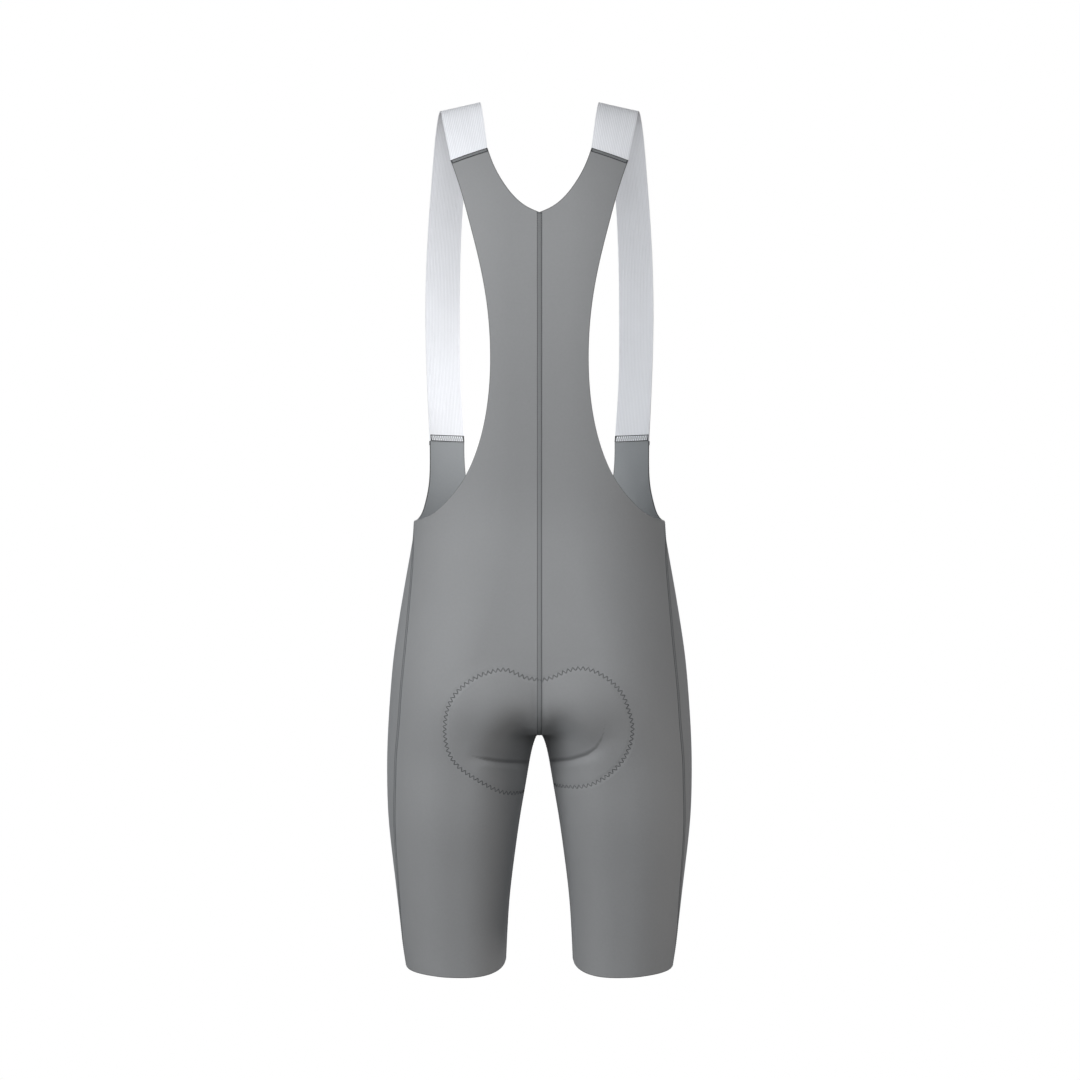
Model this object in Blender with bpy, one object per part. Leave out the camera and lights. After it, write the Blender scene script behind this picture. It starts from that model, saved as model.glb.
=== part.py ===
"""Cycling bib shorts in the hollow form that they take when worn.

Seven pieces: two back panels that run from the shoulders to the leg hems, two front panels, two elastic
braces over the shoulders, and the seat pad inside.

Metres, +Z up. The wearer faces +Y, so the back of the garment faces -Y, and -X is the wearer's left.
The origin is where the shoulders hold the garment up: midway between the braces, level with the
underside of the elastic on top of the shoulders.

A general figure gives the form: level by level, half a section is a rounded side, and an inner arc that
closes to a keel at the crotch and opens into a leg below it. Each panel is a grid laid on that figure
between the panel's own edges, and its wall is the same grid moved in by the cloth's thickness.
"""

import math
from collections import namedtuple

import bmesh
import bpy
import numpy as np
from mathutils.bvhtree import BVHTree

MM = 0.001
QUARTER = math.pi / 2

# ---------------------------------------------------------------- driving sizes
CLOTH = 1.5 * MM  # knitted panel
ELASTIC = 1.5 * MM  # brace
SEAM_GAP = 0.3 * MM  # between pieces at a seam
HEM_Z = -933.5 * MM
HEM_DIP = 3.5 * MM  # the hem hangs lower halfway between the seams
CROTCH_Z = -684 * MM
WAIST_Z = -451 * MM  # top of the side seam, bottom of the armhole
BACK_NECK_Z = -133 * MM
FRONT_NECK_Z = -478 * MM
BACK_RISE = 64 * MM  # height over which the seat closes from its full depth to the crotch
FRONT_RISE = 90 * MM
CROTCH_KEEL = 0.0015 / MM  # how fast the crotch opens at its lowest point, upwards and into the legs
SADDLE = 0.026 / MM  # how much sooner the cloth bridges the middle of the seat above the crotch
SADDLE_POWER = 3.5  # how narrow that bridge is
SADDLE_START = 0.05  # share of the rise by which it is wider than at the crotch itself
ARCH = 4.3 * MM  # half of the gap between the legs is sqrt(ARCH * depth below the crotch)
LEG_POWER = 1.35  # how square the inner back and front of a leg are: 1 is an ellipse
ROUNDING = 120 * MM  # height below the crotch over which the inner leg turns from a keel to an ellipse

# The figure that fills the garment, level by level, in mm. out: half width over both legs. axis: where half
# of the body is deepest, measured from the middle. back, front: depths. seam: the side seam's angle from
# straight back, in degrees. spread: what half of the gap between the legs has beyond the arch.
Level = namedtuple("Level", "z out axis back front seam spread")
LEVELS = [
    Level(-945, 144.8, 90.6, 62, 62, 86, 4.2),
    Level(-902, 151.3, 93.5, 65.5, 65, 75, 5.2),
    Level(-862, 156, 94.4, 71.5, 69, 67.5, 5.4),
    Level(-817, 161.3, 94.2, 80, 75, 62.5, 3.8),
    Level(-772, 165.7, 93, 90.5, 82, 58.5, 1.8),
    Level(-732, 167, 90, 96.5, 87.5, 56, 0),
    Level(-702, 166.8, 86, 102, 91, 55.5, 0),
    Level(-672, 165.5, 81, 111, 95, 54, 0),
    Level(-642, 163.5, 75, 118.5, 99, 54.5, 0),
    Level(-602, 160, 64, 120, 103, 56, 0),
    Level(-562, 154.5, 53, 114, 106, 59.5, 0),
    Level(-522, 148, 42, 104, 107.5, 65, 0),
    Level(-482, 141, 33, 94, 107, 74, 0),
    Level(-451, 137.5, 28, 90, 106, 86, 0),
    Level(-412, 143, 27, 91, 105, 88, 0),
    Level(-362, 152, 28, 97, 107, 88, 0),
    Level(-282, 159, 30, 108, 112, 88, 0),
    Level(-200, 163, 30, 112, 111, 88, 0),
    Level(-133, 163, 30, 106, 103, 88, 0),
    Level(-100, 161, 30, 98, 95, 88, 0),
    Level(-70, 156, 30, 86, 84, 88, 0),
    Level(-40, 146, 30, 68, 70, 88, 0),
    Level(-10, 132, 28, 48, 50, 88, 0),
]

# Edges of the panels, in mm: distance from the middle, and height.
Edge = namedtuple("Edge", "x z")
BACK_ARMHOLE = [  # from the waist corner up to the brace
    Edge(137.4, -451), Edge(119, -446.5), Edge(98, -431), Edge(79.5, -408), Edge(68.5, -386),
    Edge(58.5, -354), Edge(52.5, -316), Edge(51, -278), Edge(54, -232), Edge(62.5, -184),
    Edge(74, -138), Edge(83, -105), Edge(93.5, -73),
]
BACK_NECK = [  # from the middle up to the brace
    Edge(0, -133), Edge(12, -127.5), Edge(25, -117), Edge(37, -101), Edge(47, -82), Edge(54.5, -60.5),
]
FRONT_ARMHOLE = [  # from the waist corner up to the brace
    Edge(137.4, -451), Edge(134, -446), Edge(129.5, -432), Edge(126, -411), Edge(125, -390),
    Edge(125.5, -359),
]
FRONT_STUB = Edge(87.5, -359)  # inner end of the front panel's edge at the brace
FRONT_SCOOP_POWER = 2.6  # of the superellipse that the front neckline follows
FRONT_SAG = 36 * MM  # how far the front panel's rows sag near the middle, to meet the neckline at an angle

# The line that the seat pad is sewn along, in mm, from the middle round to the inner leg seam.
PAD_BACK = [
    Edge(0, -615.5), Edge(15, -612), Edge(30, -606), Edge(46, -604.5), Edge(62, -609), Edge(76, -619),
    Edge(88, -635.5), Edge(95.5, -657), Edge(95.5, -682), Edge(87, -701), Edge(69, -717.5),
    Edge(46, -731), Edge(22, -740),
]
PAD_FRONT = [
    Edge(0, -598), Edge(22, -601), Edge(40, -612), Edge(53, -634), Edge(61, -662), Edge(63, -690),
    Edge(55, -714), Edge(40, -730), Edge(24, -739),
]
PAD_INSEAM_Z = -743 * MM
PAD_MARGIN = 3 * MM  # of pad outside that line
PAD_CLEAR = 0.5 * MM  # between the pad and the wall that it lies on
PAD_EDGE = 2.5 * MM  # thickness where it is sewn
PAD_CORE = 9 * MM  # thickness of the foam under each side of the seat
PAD_CHANNEL = 5 * MM  # thickness along the middle
PAD_CHANNEL_HALF = 28 * MM  # distance from the middle at which the foam is full
PAD_BEVEL = 0.4  # share of the way in from the edge over which it thickens

# What shows on the cloth over the pad: a soft bulge on each side, and the crease under it, in mm.
Bulge = namedtuple("Bulge", "x z reach_x reach_z height")
BULGE = Bulge(47, -643, 56, 52, 7)
BULGE_POWER = 2.2  # how softly it rises from the cloth round it
CREASE_WIDTH = 7
RELIEF_START = (10, 30)  # distances from the middle and from the inner leg seam by which it is full, in mm
Crease = namedtuple("Crease", "x z depth")
CREASES = {
    "left": [
        Crease(8, -716, 1.5), Crease(26, -709.5, 3), Crease(41, -704.5, 3.4), Crease(52, -700.8, 3),
        Crease(64, -695, 1.8), Crease(76, -684, 0),
    ],
    "right": [
        Crease(8, -714.5, 1.5), Crease(22, -708.5, 2.8), Crease(33, -703.5, 3.2), Crease(50, -695, 2.8),
        Crease(61, -685, 2), Crease(67, -668, 0.8), Crease(66, -655, 0),
    ],
}

# The two edges of a brace's outer face, from the back panel over the shoulder to the front panel, in mm. Its
# ends are taken from the panels.
Brace = namedtuple("Brace", "outer_x outer_y outer_z inner_x inner_y inner_z")
BRACE = [
    Brace(98, -63, -50, 57.5, -66, -38.5),
    Brace(103.5, -44, -25, 61, -48, -14),
    Brace(107, -23, -7.5, 64, -26, 2),
    Brace(110, -2, -2, 67, -4, 6.5),
    Brace(113.5, 19, -6.5, 71.5, 18, 1.5),
    Brace(117.5, 39, -23, 77, 40, -15),
    Brace(122, 59, -55, 83.5, 63, -49),
    Brace(127, 76, -102, 89, 83, -98),
    Brace(130.8, 86, -160, 92, 95, -158),
    Brace(131.8, 88, -220, 92.7, 98, -219),
    Brace(129.7, 84, -290, 92, 96, -289),
]
BRACE_BOW = 0.12  # share of its length over which a brace flattens from the curve of the panel at its end

# Rows of faces in each stretch of a panel, from the hem up
LEG_ROWS = 14
SEAT_ROWS = 12
WAIST_ROWS = 5
BIB_ROWS = 13
SHOULDER_ROWS = 5
STUB_ROWS = 8
BACK_COLUMNS = 14
FRONT_COLUMNS = 14
LEG_CROWDING = 1.7  # power that crowds the rows of the legs towards the crotch, where the inner seam turns
SEAT_CROWDING = 0.8  # power that evens out the rows above the crotch, where the middle seam runs nearly level
COLUMN_CROWDING = 1.2  # power that crowds the columns towards the middle and the inner leg
BRACE_ROWS = 28
BRACE_COLUMNS = 4
PAD_BACK_SPOKES = 16
PAD_FRONT_SPOKES = 12
PAD_RINGS = 12
PAD_PASSES = 8  # rounds of moving the pad clear of the wall
PAD_CROWDING = 1.6  # power that crowds the rings towards the crotch
ARC_STEPS = 60  # samples in each arc of a section

WELD = 0.01 * MM
SMOOTH_BELOW = math.radians(40)


# ---------------------------------------------------------------- curves
class Spline:
    """A natural cubic spline through a table's values. Its knots rise."""

    def __init__(self, knots, values):
        self.knots = np.asarray(knots, float)
        self.values = np.asarray(values, float)
        gap = np.diff(self.knots)
        slope = np.diff(self.values) / gap
        count = len(self.knots)
        system = np.eye(count)
        target = np.zeros(count)
        for i in range(1, count - 1):
            system[i, i - 1 : i + 2] = gap[i - 1], 2 * (gap[i - 1] + gap[i]), gap[i]
            target[i] = 6 * (slope[i] - slope[i - 1])
        self.bend = np.linalg.solve(system, target)

    def __call__(self, at):
        at = np.clip(at, self.knots[0], self.knots[-1])
        i = np.clip(np.searchsorted(self.knots, at) - 1, 0, len(self.knots) - 2)
        gap = self.knots[i + 1] - self.knots[i]
        b = (at - self.knots[i]) / gap
        a = 1 - b
        curve = (a**3 - a) * self.bend[i] + (b**3 - b) * self.bend[i + 1]
        return a * self.values[i] + b * self.values[i + 1] + curve * gap**2 / 6


def run_length(points):
    """Distance along a line of points, 0 at the first."""
    steps = np.linalg.norm(np.diff(points, axis=0), axis=1)
    return np.concatenate([[0], np.cumsum(steps)])


def through(points, count):
    """count + 1 points spaced evenly along a smooth curve through the given points."""
    points = np.asarray(points, float)
    at = run_length(points)
    wanted = np.linspace(0, at[-1], count + 1)
    return np.stack([Spline(at, column)(wanted) for column in points.T], axis=-1)


def smoothstep(t):
    """0 to 1, level at both ends."""
    t = np.clip(t, 0, 1)
    return t * t * (3 - 2 * t)


# ---------------------------------------------------------------- the figure
def level_spline(column):
    scale = 1 if column == "seam" else MM
    return Spline([level.z * MM for level in LEVELS], [getattr(level, column) * scale for level in LEVELS])


OUT, AXIS, BACK, FRONT, SEAM, SPREAD = (
    level_spline(column) for column in ("out", "axis", "back", "front", "seam", "spread")
)


def leg_gap(z):
    """Half of the gap between the legs, 0 above the crotch."""
    below = np.maximum(CROTCH_Z - z, 0)
    return np.where(below > 0, np.sqrt(ARCH * below) + SPREAD(z), 0)


def closing(z, rise):
    """1 at the crotch, where half a section closes on the middle, down to 0 where the body is full."""
    above = np.clip((z - CROTCH_Z) / rise, 0, 1)
    return 1 - CROTCH_KEEL * rise * above * (1 - above) ** 2 - smoothstep(above)


def drawn_in(q, z, rise):
    """How far the skin has turned in, at share q of the way from the middle to the axis: 1 where y is 0."""
    gap = leg_gap(z) / AXIS(z)
    closed = (np.cos(QUARTER * np.clip(q, 0, 1)) / np.cos(QUARTER * gap)) ** 2
    above = np.clip((z - CROTCH_Z) / rise, 0, 1)
    bridge = SADDLE * rise * above * (1 - above) ** 2 * closed ** (SADDLE_POWER / (above + SADDLE_START))
    rounded = (np.maximum(1 - q, 0) / (1 - gap)) ** LEG_POWER
    legs = smoothstep((CROTCH_Z - z) / ROUNDING)
    return (1 - legs) * (closing(z, rise) * closed - bridge) + legs * rounded


def inner_arc(z, front):
    """From the middle, or the inner leg seam, out to the axis, at each height."""
    rise, depth = (FRONT_RISE, FRONT(z)) if front else (BACK_RISE, -BACK(z))
    gap = (leg_gap(z) / AXIS(z))[:, None]
    q = gap + (1 - gap) * np.linspace(0, 1, ARC_STEPS) ** 2
    drawn = np.minimum(drawn_in(q, z[:, None], rise), 1)
    return AXIS(z)[:, None] * q, depth[:, None] * np.sqrt(1 - drawn**2)


def outer_arc(z, front, start, end):
    """The rounded side between two angles from straight back, or from straight ahead if front."""
    angle = np.radians(start + (end - start) * np.linspace(0, 1, ARC_STEPS))
    axis, out = AXIS(z)[:, None], OUT(z)[:, None]
    depth = (FRONT(z) if front else -BACK(z))[:, None]
    return axis + (out - axis) * np.sin(angle), depth * np.cos(angle)


def chained(first, *others):
    """Lists of grids joined end to end, each starting with the column that the one before it ends with."""
    return [
        np.concatenate([grid, *[other[:, 1:] for other in rest]], axis=1)
        for grid, *rest in zip(first, *others)
    ]


def back_section(z):
    """Half a level section's back, from the middle or the inner leg seam to the side seam."""
    return chained(inner_arc(z, False), outer_arc(z, False, 0, SEAM(z)[:, None]))


def front_section(z):
    """The rest of it, from the middle or the inner leg seam round the front to the side seam."""
    behind = outer_arc(z, False, 90, SEAM(z)[:, None])
    return chained(inner_arc(z, True), outer_arc(z, True, 0, 90), behind)


def runs(section, z):
    """A section's samples at each height, and the distance along it to each."""
    x, y = section(z)
    steps = np.hypot(np.diff(x), np.diff(y))
    return x, y, np.concatenate([np.zeros((len(z), 1)), np.cumsum(steps, axis=1)], axis=1)


def on_section(section, share, z):
    """Points on the skin at these shares of the way along the section of each one's own height."""
    x, y, run = runs(section, z)
    wanted = share * run[:, -1]
    row = np.arange(len(z))
    i = np.clip((run < wanted[:, None]).sum(axis=1) - 1, 0, x.shape[1] - 2)
    part = (wanted - run[row, i]) / (run[row, i + 1] - run[row, i])
    place = [a[row, i] + (a[row, i + 1] - a[row, i]) * part for a in (x, y)]
    return np.stack([*place, z], axis=-1)


def share_at(section, x_wanted, z):
    """The share of the way along each height's section at which the skin is this far from the middle."""
    x, _, run = runs(section, z)
    shares = []
    for wanted, xs, distance in zip(x_wanted, x, run):
        widest = xs.argmax() + 1
        shares.append(np.interp(wanted, xs[:widest], distance[:widest]) / distance[-1])
    return np.array(shares)


def outside(p):
    """Below 0 inside the figure, 0 on its skin and above 0 outside. Both halves are alike."""
    x, y, z = abs(p[:, 0]), p[:, 1], p[:, 2]
    ahead = y > 0
    depth = np.where(ahead, FRONT(z), BACK(z))
    rise = np.where(ahead, FRONT_RISE, BACK_RISE)
    axis = AXIS(z)
    across = np.where(x < axis, drawn_in(x / axis, z, rise), (x - axis) / (OUT(z) - axis))
    return (y / depth) ** 2 + across**2 - 1


def normals(p):
    """The way out of the figure at each point of its skin."""
    step = 0.2 * MM
    way = np.stack([outside(p + step * axis) - outside(p - step * axis) for axis in np.eye(3)], axis=-1)
    return way / np.linalg.norm(way, axis=1, keepdims=True)


def crease(x, z, line):
    """How deep a crease is at each point: full on its line, fading to both sides of it."""
    line = np.array(line)
    nearest = np.full(len(x), np.inf)
    depth = np.zeros(len(x))
    for start, end in zip(line, line[1:]):
        along = end[:2] - start[:2]
        t = np.clip(((x - start[0]) * along[0] + (z - start[1]) * along[1]) / (along @ along), 0, 1)
        away = np.hypot(x - start[0] - t * along[0], z - start[1] - t * along[1])
        nearer = away < nearest
        nearest = np.where(nearer, away, nearest)
        depth = np.where(nearer, start[2] + (end[2] - start[2]) * t, depth)
    return depth * np.exp(-((nearest / CREASE_WIDTH) ** 2))


def relief(p, word):
    """How far the cloth over the seat pad stands out of the figure, or sinks into its crease."""
    x, z = p[:, 0] / MM, p[:, 2] / MM
    within = 1 - ((x - BULGE.x) / BULGE.reach_x) ** 2 - ((z - BULGE.z) / BULGE.reach_z) ** 2
    height = BULGE.height * np.maximum(within, 0) ** BULGE_POWER - crease(x, z, CREASES[word])
    return height * smoothstep(x / RELIEF_START[0]) * smoothstep(-p[:, 1] / MM / RELIEF_START[1]) * MM


# ---------------------------------------------------------------- panels, as grids of (share, height)
def spread(inner_edge, outer_edge, columns):
    """A grid between two edges that have as many points."""
    t = (np.linspace(0, 1, columns + 1) ** COLUMN_CROWDING)[None, :, None]
    return inner_edge[:, None, :] * (1 - t) + outer_edge[:, None, :] * t


def seam_edge(heights):
    """The middle or the inner leg seam, at these heights."""
    return np.stack([np.zeros(len(heights)), heights], axis=-1)


def side_edge(heights):
    """The side seam, at these heights."""
    return np.stack([np.ones(len(heights)), heights], axis=-1)


def free_edge(section, points):
    """An edge given by distances from the middle and heights, in mm."""
    x, z = np.asarray(points, float).T * MM
    return np.stack([share_at(section, x, z), z], axis=-1)


def joined(first, *others):
    """Edges end to end. Each starts where the one before it ends."""
    return np.concatenate([first, *[edge[1:] for edge in others]])


def leg_heights():
    """Heights up the inner leg seam, closer together near the crotch."""
    return CROTCH_Z + (HEM_Z - CROTCH_Z) * np.linspace(1, 0, LEG_ROWS + 1) ** LEG_CROWDING


def crotch_heights(rise):
    """Heights up the middle from the crotch, closer together near it."""
    turn = np.linspace(0, QUARTER, SEAT_ROWS + 1)
    return CROTCH_Z + rise * (1 - np.cos(turn)) ** SEAT_CROWDING


def side_heights():
    return np.linspace(HEM_Z, WAIST_Z, LEG_ROWS + SEAT_ROWS + WAIST_ROWS + 1)


def back_edges():
    seat = crotch_heights(BACK_RISE)
    waist = np.linspace(seat[-1], WAIST_Z, WAIST_ROWS + 1)
    bib = np.linspace(WAIST_Z, BACK_NECK_Z, BIB_ROWS + 1)
    neck = free_edge(back_section, through(BACK_NECK, SHOULDER_ROWS))
    armhole = free_edge(back_section, through(BACK_ARMHOLE, BIB_ROWS + SHOULDER_ROWS))
    inner = joined(*[seam_edge(heights) for heights in (leg_heights(), seat, waist, bib)], neck)
    return inner, joined(side_edge(side_heights()), armhole)


def scoop():
    """The front neckline, from the middle up to the brace."""
    turn = np.linspace(0, QUARTER, STUB_ROWS + 1)
    x = FRONT_STUB.x * np.sin(turn) ** (2 / FRONT_SCOOP_POWER)
    z = FRONT_STUB.z + (FRONT_NECK_Z / MM - FRONT_STUB.z) * np.cos(turn) ** (2 / FRONT_SCOOP_POWER)
    return through(np.stack([x, z], axis=-1), STUB_ROWS)


def front_edges():
    belly = crotch_heights(FRONT_RISE)
    waist = np.linspace(belly[-1], FRONT_NECK_Z, WAIST_ROWS + 1)
    neck = free_edge(front_section, scoop())
    armhole = free_edge(front_section, through(FRONT_ARMHOLE, STUB_ROWS))
    inner = joined(*[seam_edge(heights) for heights in (leg_heights(), belly, waist)], neck)
    return inner, joined(side_edge(side_heights()), armhole)


def sagging(grid):
    """The front panel's grid with its rows sagging near the middle, most at the corner of the neckline."""
    rows, columns = grid.shape[:2]
    corner = LEG_ROWS + SEAT_ROWS + WAIST_ROWS
    below = smoothstep((np.arange(rows) - LEG_ROWS) / (corner - LEG_ROWS))
    above = 1 - smoothstep((np.arange(rows) - corner) / (rows - 1 - corner))
    across = np.linspace(0, 1, columns) ** COLUMN_CROWDING
    grid[..., 1] -= FRONT_SAG * np.minimum(below, above)[:, None] * 6.75 * across * (1 - across) ** 2
    return grid


def dipped(grid):
    """The grid with its hem hanging lower halfway between the seams, less so up to the crotch."""
    rows, columns = grid.shape[:2]
    across = np.sin(math.pi * np.linspace(0, 1, columns) ** COLUMN_CROWDING)
    up = 1 - smoothstep(np.arange(rows) / LEG_ROWS)
    grid[..., 1] -= HEM_DIP * up[:, None] * across
    return grid


def on_body(section, grid, word, sink=0):
    """The grid's points on the figure's +X half, moved in by sink, with the relief of the side in word."""
    skin = on_section(section, grid[..., 0].ravel(), grid[..., 1].ravel())
    way = normals(skin)
    raised = relief(skin, word)[:, None]
    return (skin + way * (raised - sink)).reshape(*grid.shape[:-1], 3)


def part_seams(points, at_seam, ahead):
    """Draws a panel back by half a seam gap from the middle, the inner leg seam and the side seam."""
    half = SEAM_GAP / 2
    side = 1 if ahead else -1
    points[at_seam, 0, 0] = np.maximum(points[at_seam, 0, 0], half)
    points[at_seam, 0, 1] = side * np.maximum(side * points[at_seam, 0, 1], half)
    inwards = points[:, -2] - points[:, -1]
    points[:, -1] += inwards * half / np.linalg.norm(inwards, axis=1, keepdims=True)
    return points


# ---------------------------------------------------------------- solids
def material(name, colour, roughness):
    made = bpy.data.materials.new(name)
    made.use_nodes = True
    shader = made.node_tree.nodes["Principled BSDF"]
    shader.inputs["Base Color"].default_value = (*colour, 1)
    shader.inputs["Roughness"].default_value = roughness
    shader.inputs["Metallic"].default_value = 0
    return made


def add_wall(name, outer, inner, finish, collection):
    """A closed wall: a grid laid on the outer points, extruded to the inner ones.

    Points that two edges of the grid share are welded first, so a grid may close into a ring or a disc.
    """
    rows, columns = outer.shape[:2]
    shell = bmesh.new()
    place = shell.verts.layers.int.new("place")
    bmesh.ops.create_grid(shell, x_segments=columns - 1, y_segments=rows - 1, size=1)
    for vert in shell.verts:
        column = round((vert.co.x + 1) / 2 * (columns - 1))
        row = round((vert.co.y + 1) / 2 * (rows - 1))
        vert[place] = row * columns + column
        vert.co = outer[row, column]
    bmesh.ops.remove_doubles(shell, verts=shell.verts, dist=WELD)
    lifted = bmesh.ops.extrude_face_region(shell, geom=shell.faces[:], use_keep_orig=True)["geom"]
    inside = inner.reshape(-1, 3)
    for vert in lifted:
        if isinstance(vert, bmesh.types.BMVert):
            vert.co = inside[vert[place]]
    bmesh.ops.recalc_face_normals(shell, faces=shell.faces)
    bmesh.ops.triangulate(shell, faces=shell.faces, quad_method="SHORT_EDGE")
    mesh = bpy.data.meshes.new(name)
    shell.to_mesh(mesh)
    shell.free()
    mesh.materials.append(finish)
    mesh.shade_smooth()
    mesh.set_sharp_from_angle(angle=SMOOTH_BELOW)
    made = bpy.data.objects.new(name, mesh)
    collection.objects.link(made)
    return made


def turned(points, word):
    """Points of the +X half, on the side in word."""
    return points * ((-1, 1, 1) if word == "left" else (1, 1, 1))


def add_panel(name, section, edges, columns, word, finish, collection):
    inner_edge, outer_edge = edges
    grid = dipped(spread(inner_edge, outer_edge, columns))
    if section is front_section:
        grid = sagging(grid)
    at_seam = inner_edge[:, 0] == 0
    faces = [
        turned(part_seams(on_body(section, grid, word, sink), at_seam, section is front_section), word)
        for sink in (0, CLOTH)
    ]
    return add_wall(name, *faces, finish, collection)


def brace_end(section, outer, inner):
    """Where a panel ends at a brace, from its outer to its inner corner: points, and the way out at each."""
    corners = free_edge(section, [outer, inner])
    across = np.linspace(0, 1, BRACE_COLUMNS + 1)[:, None]
    line = corners[0] * (1 - across) + corners[1] * across
    points = on_section(section, *line.T)
    return points, normals(points)


def add_brace(name, word, finish, collection):
    ends = [
        brace_end(back_section, BACK_ARMHOLE[-1], BACK_NECK[-1]),
        brace_end(front_section, FRONT_ARMHOLE[-1], FRONT_STUB),
    ]
    table = np.array(BRACE) * MM
    edges = [
        through([ends[0][0][corner], *route, ends[1][0][corner]], BRACE_ROWS)
        for corner, route in ((0, table[:, :3]), (-1, table[:, 3:]))
    ]
    across = np.linspace(0, 1, BRACE_COLUMNS + 1)[None, :, None]
    face = edges[0][:, None] * (1 - across) + edges[1][:, None] * across
    far = np.linspace(0, 1, BRACE_ROWS + 1)[:, None, None]
    for end, distance in ((0, far), (-1, 1 - far)):
        bow = ends[end][0] - face[end]
        face = face + bow * (1 - smoothstep(distance / BRACE_BOW))
    run = np.gradient(face, axis=0)
    run /= np.linalg.norm(run, axis=2, keepdims=True)
    way = np.cross(run, np.gradient(face, axis=1))
    way /= np.linalg.norm(way, axis=2, keepdims=True)
    for end, (_, out) in zip((0, -1), ends):
        way[end] = out
    face[0] += run[0] * SEAM_GAP
    face[-1] -= run[-1] * SEAM_GAP
    add_wall(name, turned(face, word), turned(face - way * ELASTIC, word), finish, collection)


def lining_of(panels):
    """The panels' faces, to lay a piece on."""
    points, faces = [], []
    for panel in panels:
        first = len(points)
        points += [vert.co for vert in panel.data.vertices]
        faces += [[first + i for i in face.vertices] for face in panel.data.polygons]
    return BVHTree.FromPolygons(points, faces)


def clear_of(lining, face, way):
    """The face, moved in along its way out until it lies PAD_CLEAR inside the lining, between its points too.

    Its first and last columns are one line, and its first row is one point.
    """
    rows, columns = face.shape[:2]
    row, column = np.indices((rows, columns))
    for _ in range(PAD_PASSES):
        push = np.zeros((rows, columns))
        for down, across in ((0, 0), (0, 1), (1, 0), (1, 1), (1, -1)):
            kept = (row + down < rows) & (0 <= column + across) & (column + across < columns)
            here = row[kept], column[kept]
            there = row[kept] + down, column[kept] + across
            for i, j in zip(zip(*here), zip(*there)):
                middle = (face[i] + face[j]) / 2
                inside = (np.array(lining.find_nearest(middle)[0]) - middle) @ way[i]
                push[i] = max(push[i], PAD_CLEAR - inside)
                push[j] = max(push[j], PAD_CLEAR - inside)
        push[:, [0, -1]] = push[:, [0, -1]].max(axis=1, keepdims=True)
        push[0] = push[0].max()
        face = face - way * push[..., None]
    return face


def pad_quarter(section, line, spokes, word):
    """One quarter of the pad, as rings round the crotch: points on the wall, the way out, and thickness."""
    inseam = Edge(leg_gap(PAD_INSEAM_Z) / MM, PAD_INSEAM_Z / MM)
    sewn = free_edge(section, through([*line, inseam], spokes))
    sewn[[0, -1], 0] = 0
    crotch = np.array([0, CROTCH_Z])
    length = np.linalg.norm(on_section(section, *sewn.T) - [0, 0, CROTCH_Z], axis=1)
    far = np.linspace(0, 1, PAD_RINGS + 1) ** PAD_CROWDING
    grid = crotch + (sewn - crotch) * (far[:, None] * (1 + PAD_MARGIN / length))[..., None]
    skin = on_body(section, grid, word, CLOTH)
    way = normals(on_section(section, *grid.reshape(-1, 2).T)).reshape(skin.shape)
    core = PAD_CHANNEL + (PAD_CORE - PAD_CHANNEL) * smoothstep(skin[..., 0] / PAD_CHANNEL_HALF)
    depth = PAD_EDGE + (core - PAD_EDGE) * smoothstep((1 - far) / PAD_BEVEL)[:, None]
    return turned(skin, word), turned(way, word), depth[..., None]


def add_pad(name, panels, finish, collection):
    """One piece round the crotch: from the seat round the left inner leg seam to the belly, and back."""
    back = (back_section, PAD_BACK, PAD_BACK_SPOKES)
    front = (front_section, PAD_FRONT, PAD_FRONT_SPOKES)
    quarters = [
        pad_quarter(*back, "left"),
        [grid[:, ::-1] for grid in pad_quarter(*front, "left")],
        pad_quarter(*front, "right"),
        [grid[:, ::-1] for grid in pad_quarter(*back, "right")],
    ]
    skin, way, depth = chained(*quarters)
    outer = clear_of(lining_of(panels), skin, way)
    add_wall(name, outer, outer - way * depth, finish, collection)


def main():
    for leftover in list(bpy.data.objects):
        bpy.data.objects.remove(leftover)
    collection = bpy.data.collections.new("bib_shorts")
    bpy.context.scene.collection.children.link(collection)
    knit = material("grey_knit", (0.27, 0.28, 0.28), 0.75)
    elastic = material("white_elastic", (0.84, 0.85, 0.88), 0.7)
    fleece = material("pad_fleece", (0.16, 0.17, 0.18), 0.9)
    panels = []
    for word in ("left", "right"):
        for where, section, edges, columns in (
            ("back", back_section, back_edges(), BACK_COLUMNS),
            ("front", front_section, front_edges(), FRONT_COLUMNS),
        ):
            panels.append(add_panel(f"{where}_{word}", section, edges, columns, word, knit, collection))
        add_brace(f"brace_{word}", word, elastic, collection)
    add_pad("seat_pad", panels, fleece, collection)


main()
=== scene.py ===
"""Looks of the cycling bib shorts: knitted panels, ribbed braces, seat pad, flat seams and stitches.

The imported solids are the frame, and each piece here stands for one of them or lies on one. A general
figure gives the form: level by level, half a section is a rounded side, and an inner arc that closes to a
keel at the crotch and opens into a leg below it. The panels are thin shells laid on that figure between
their own edges, and seams and stitches are laid on strips of it.

Sizes are in millimetres, in the frame's axes, and become metres where a mesh is made: +Z is up, the back
of the garment faces -Y, and -X is the wearer's left. The studio is in metres.
"""

import logging
import math
from dataclasses import dataclass
from enum import Enum
from functools import cached_property
from typing import NamedTuple

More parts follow.
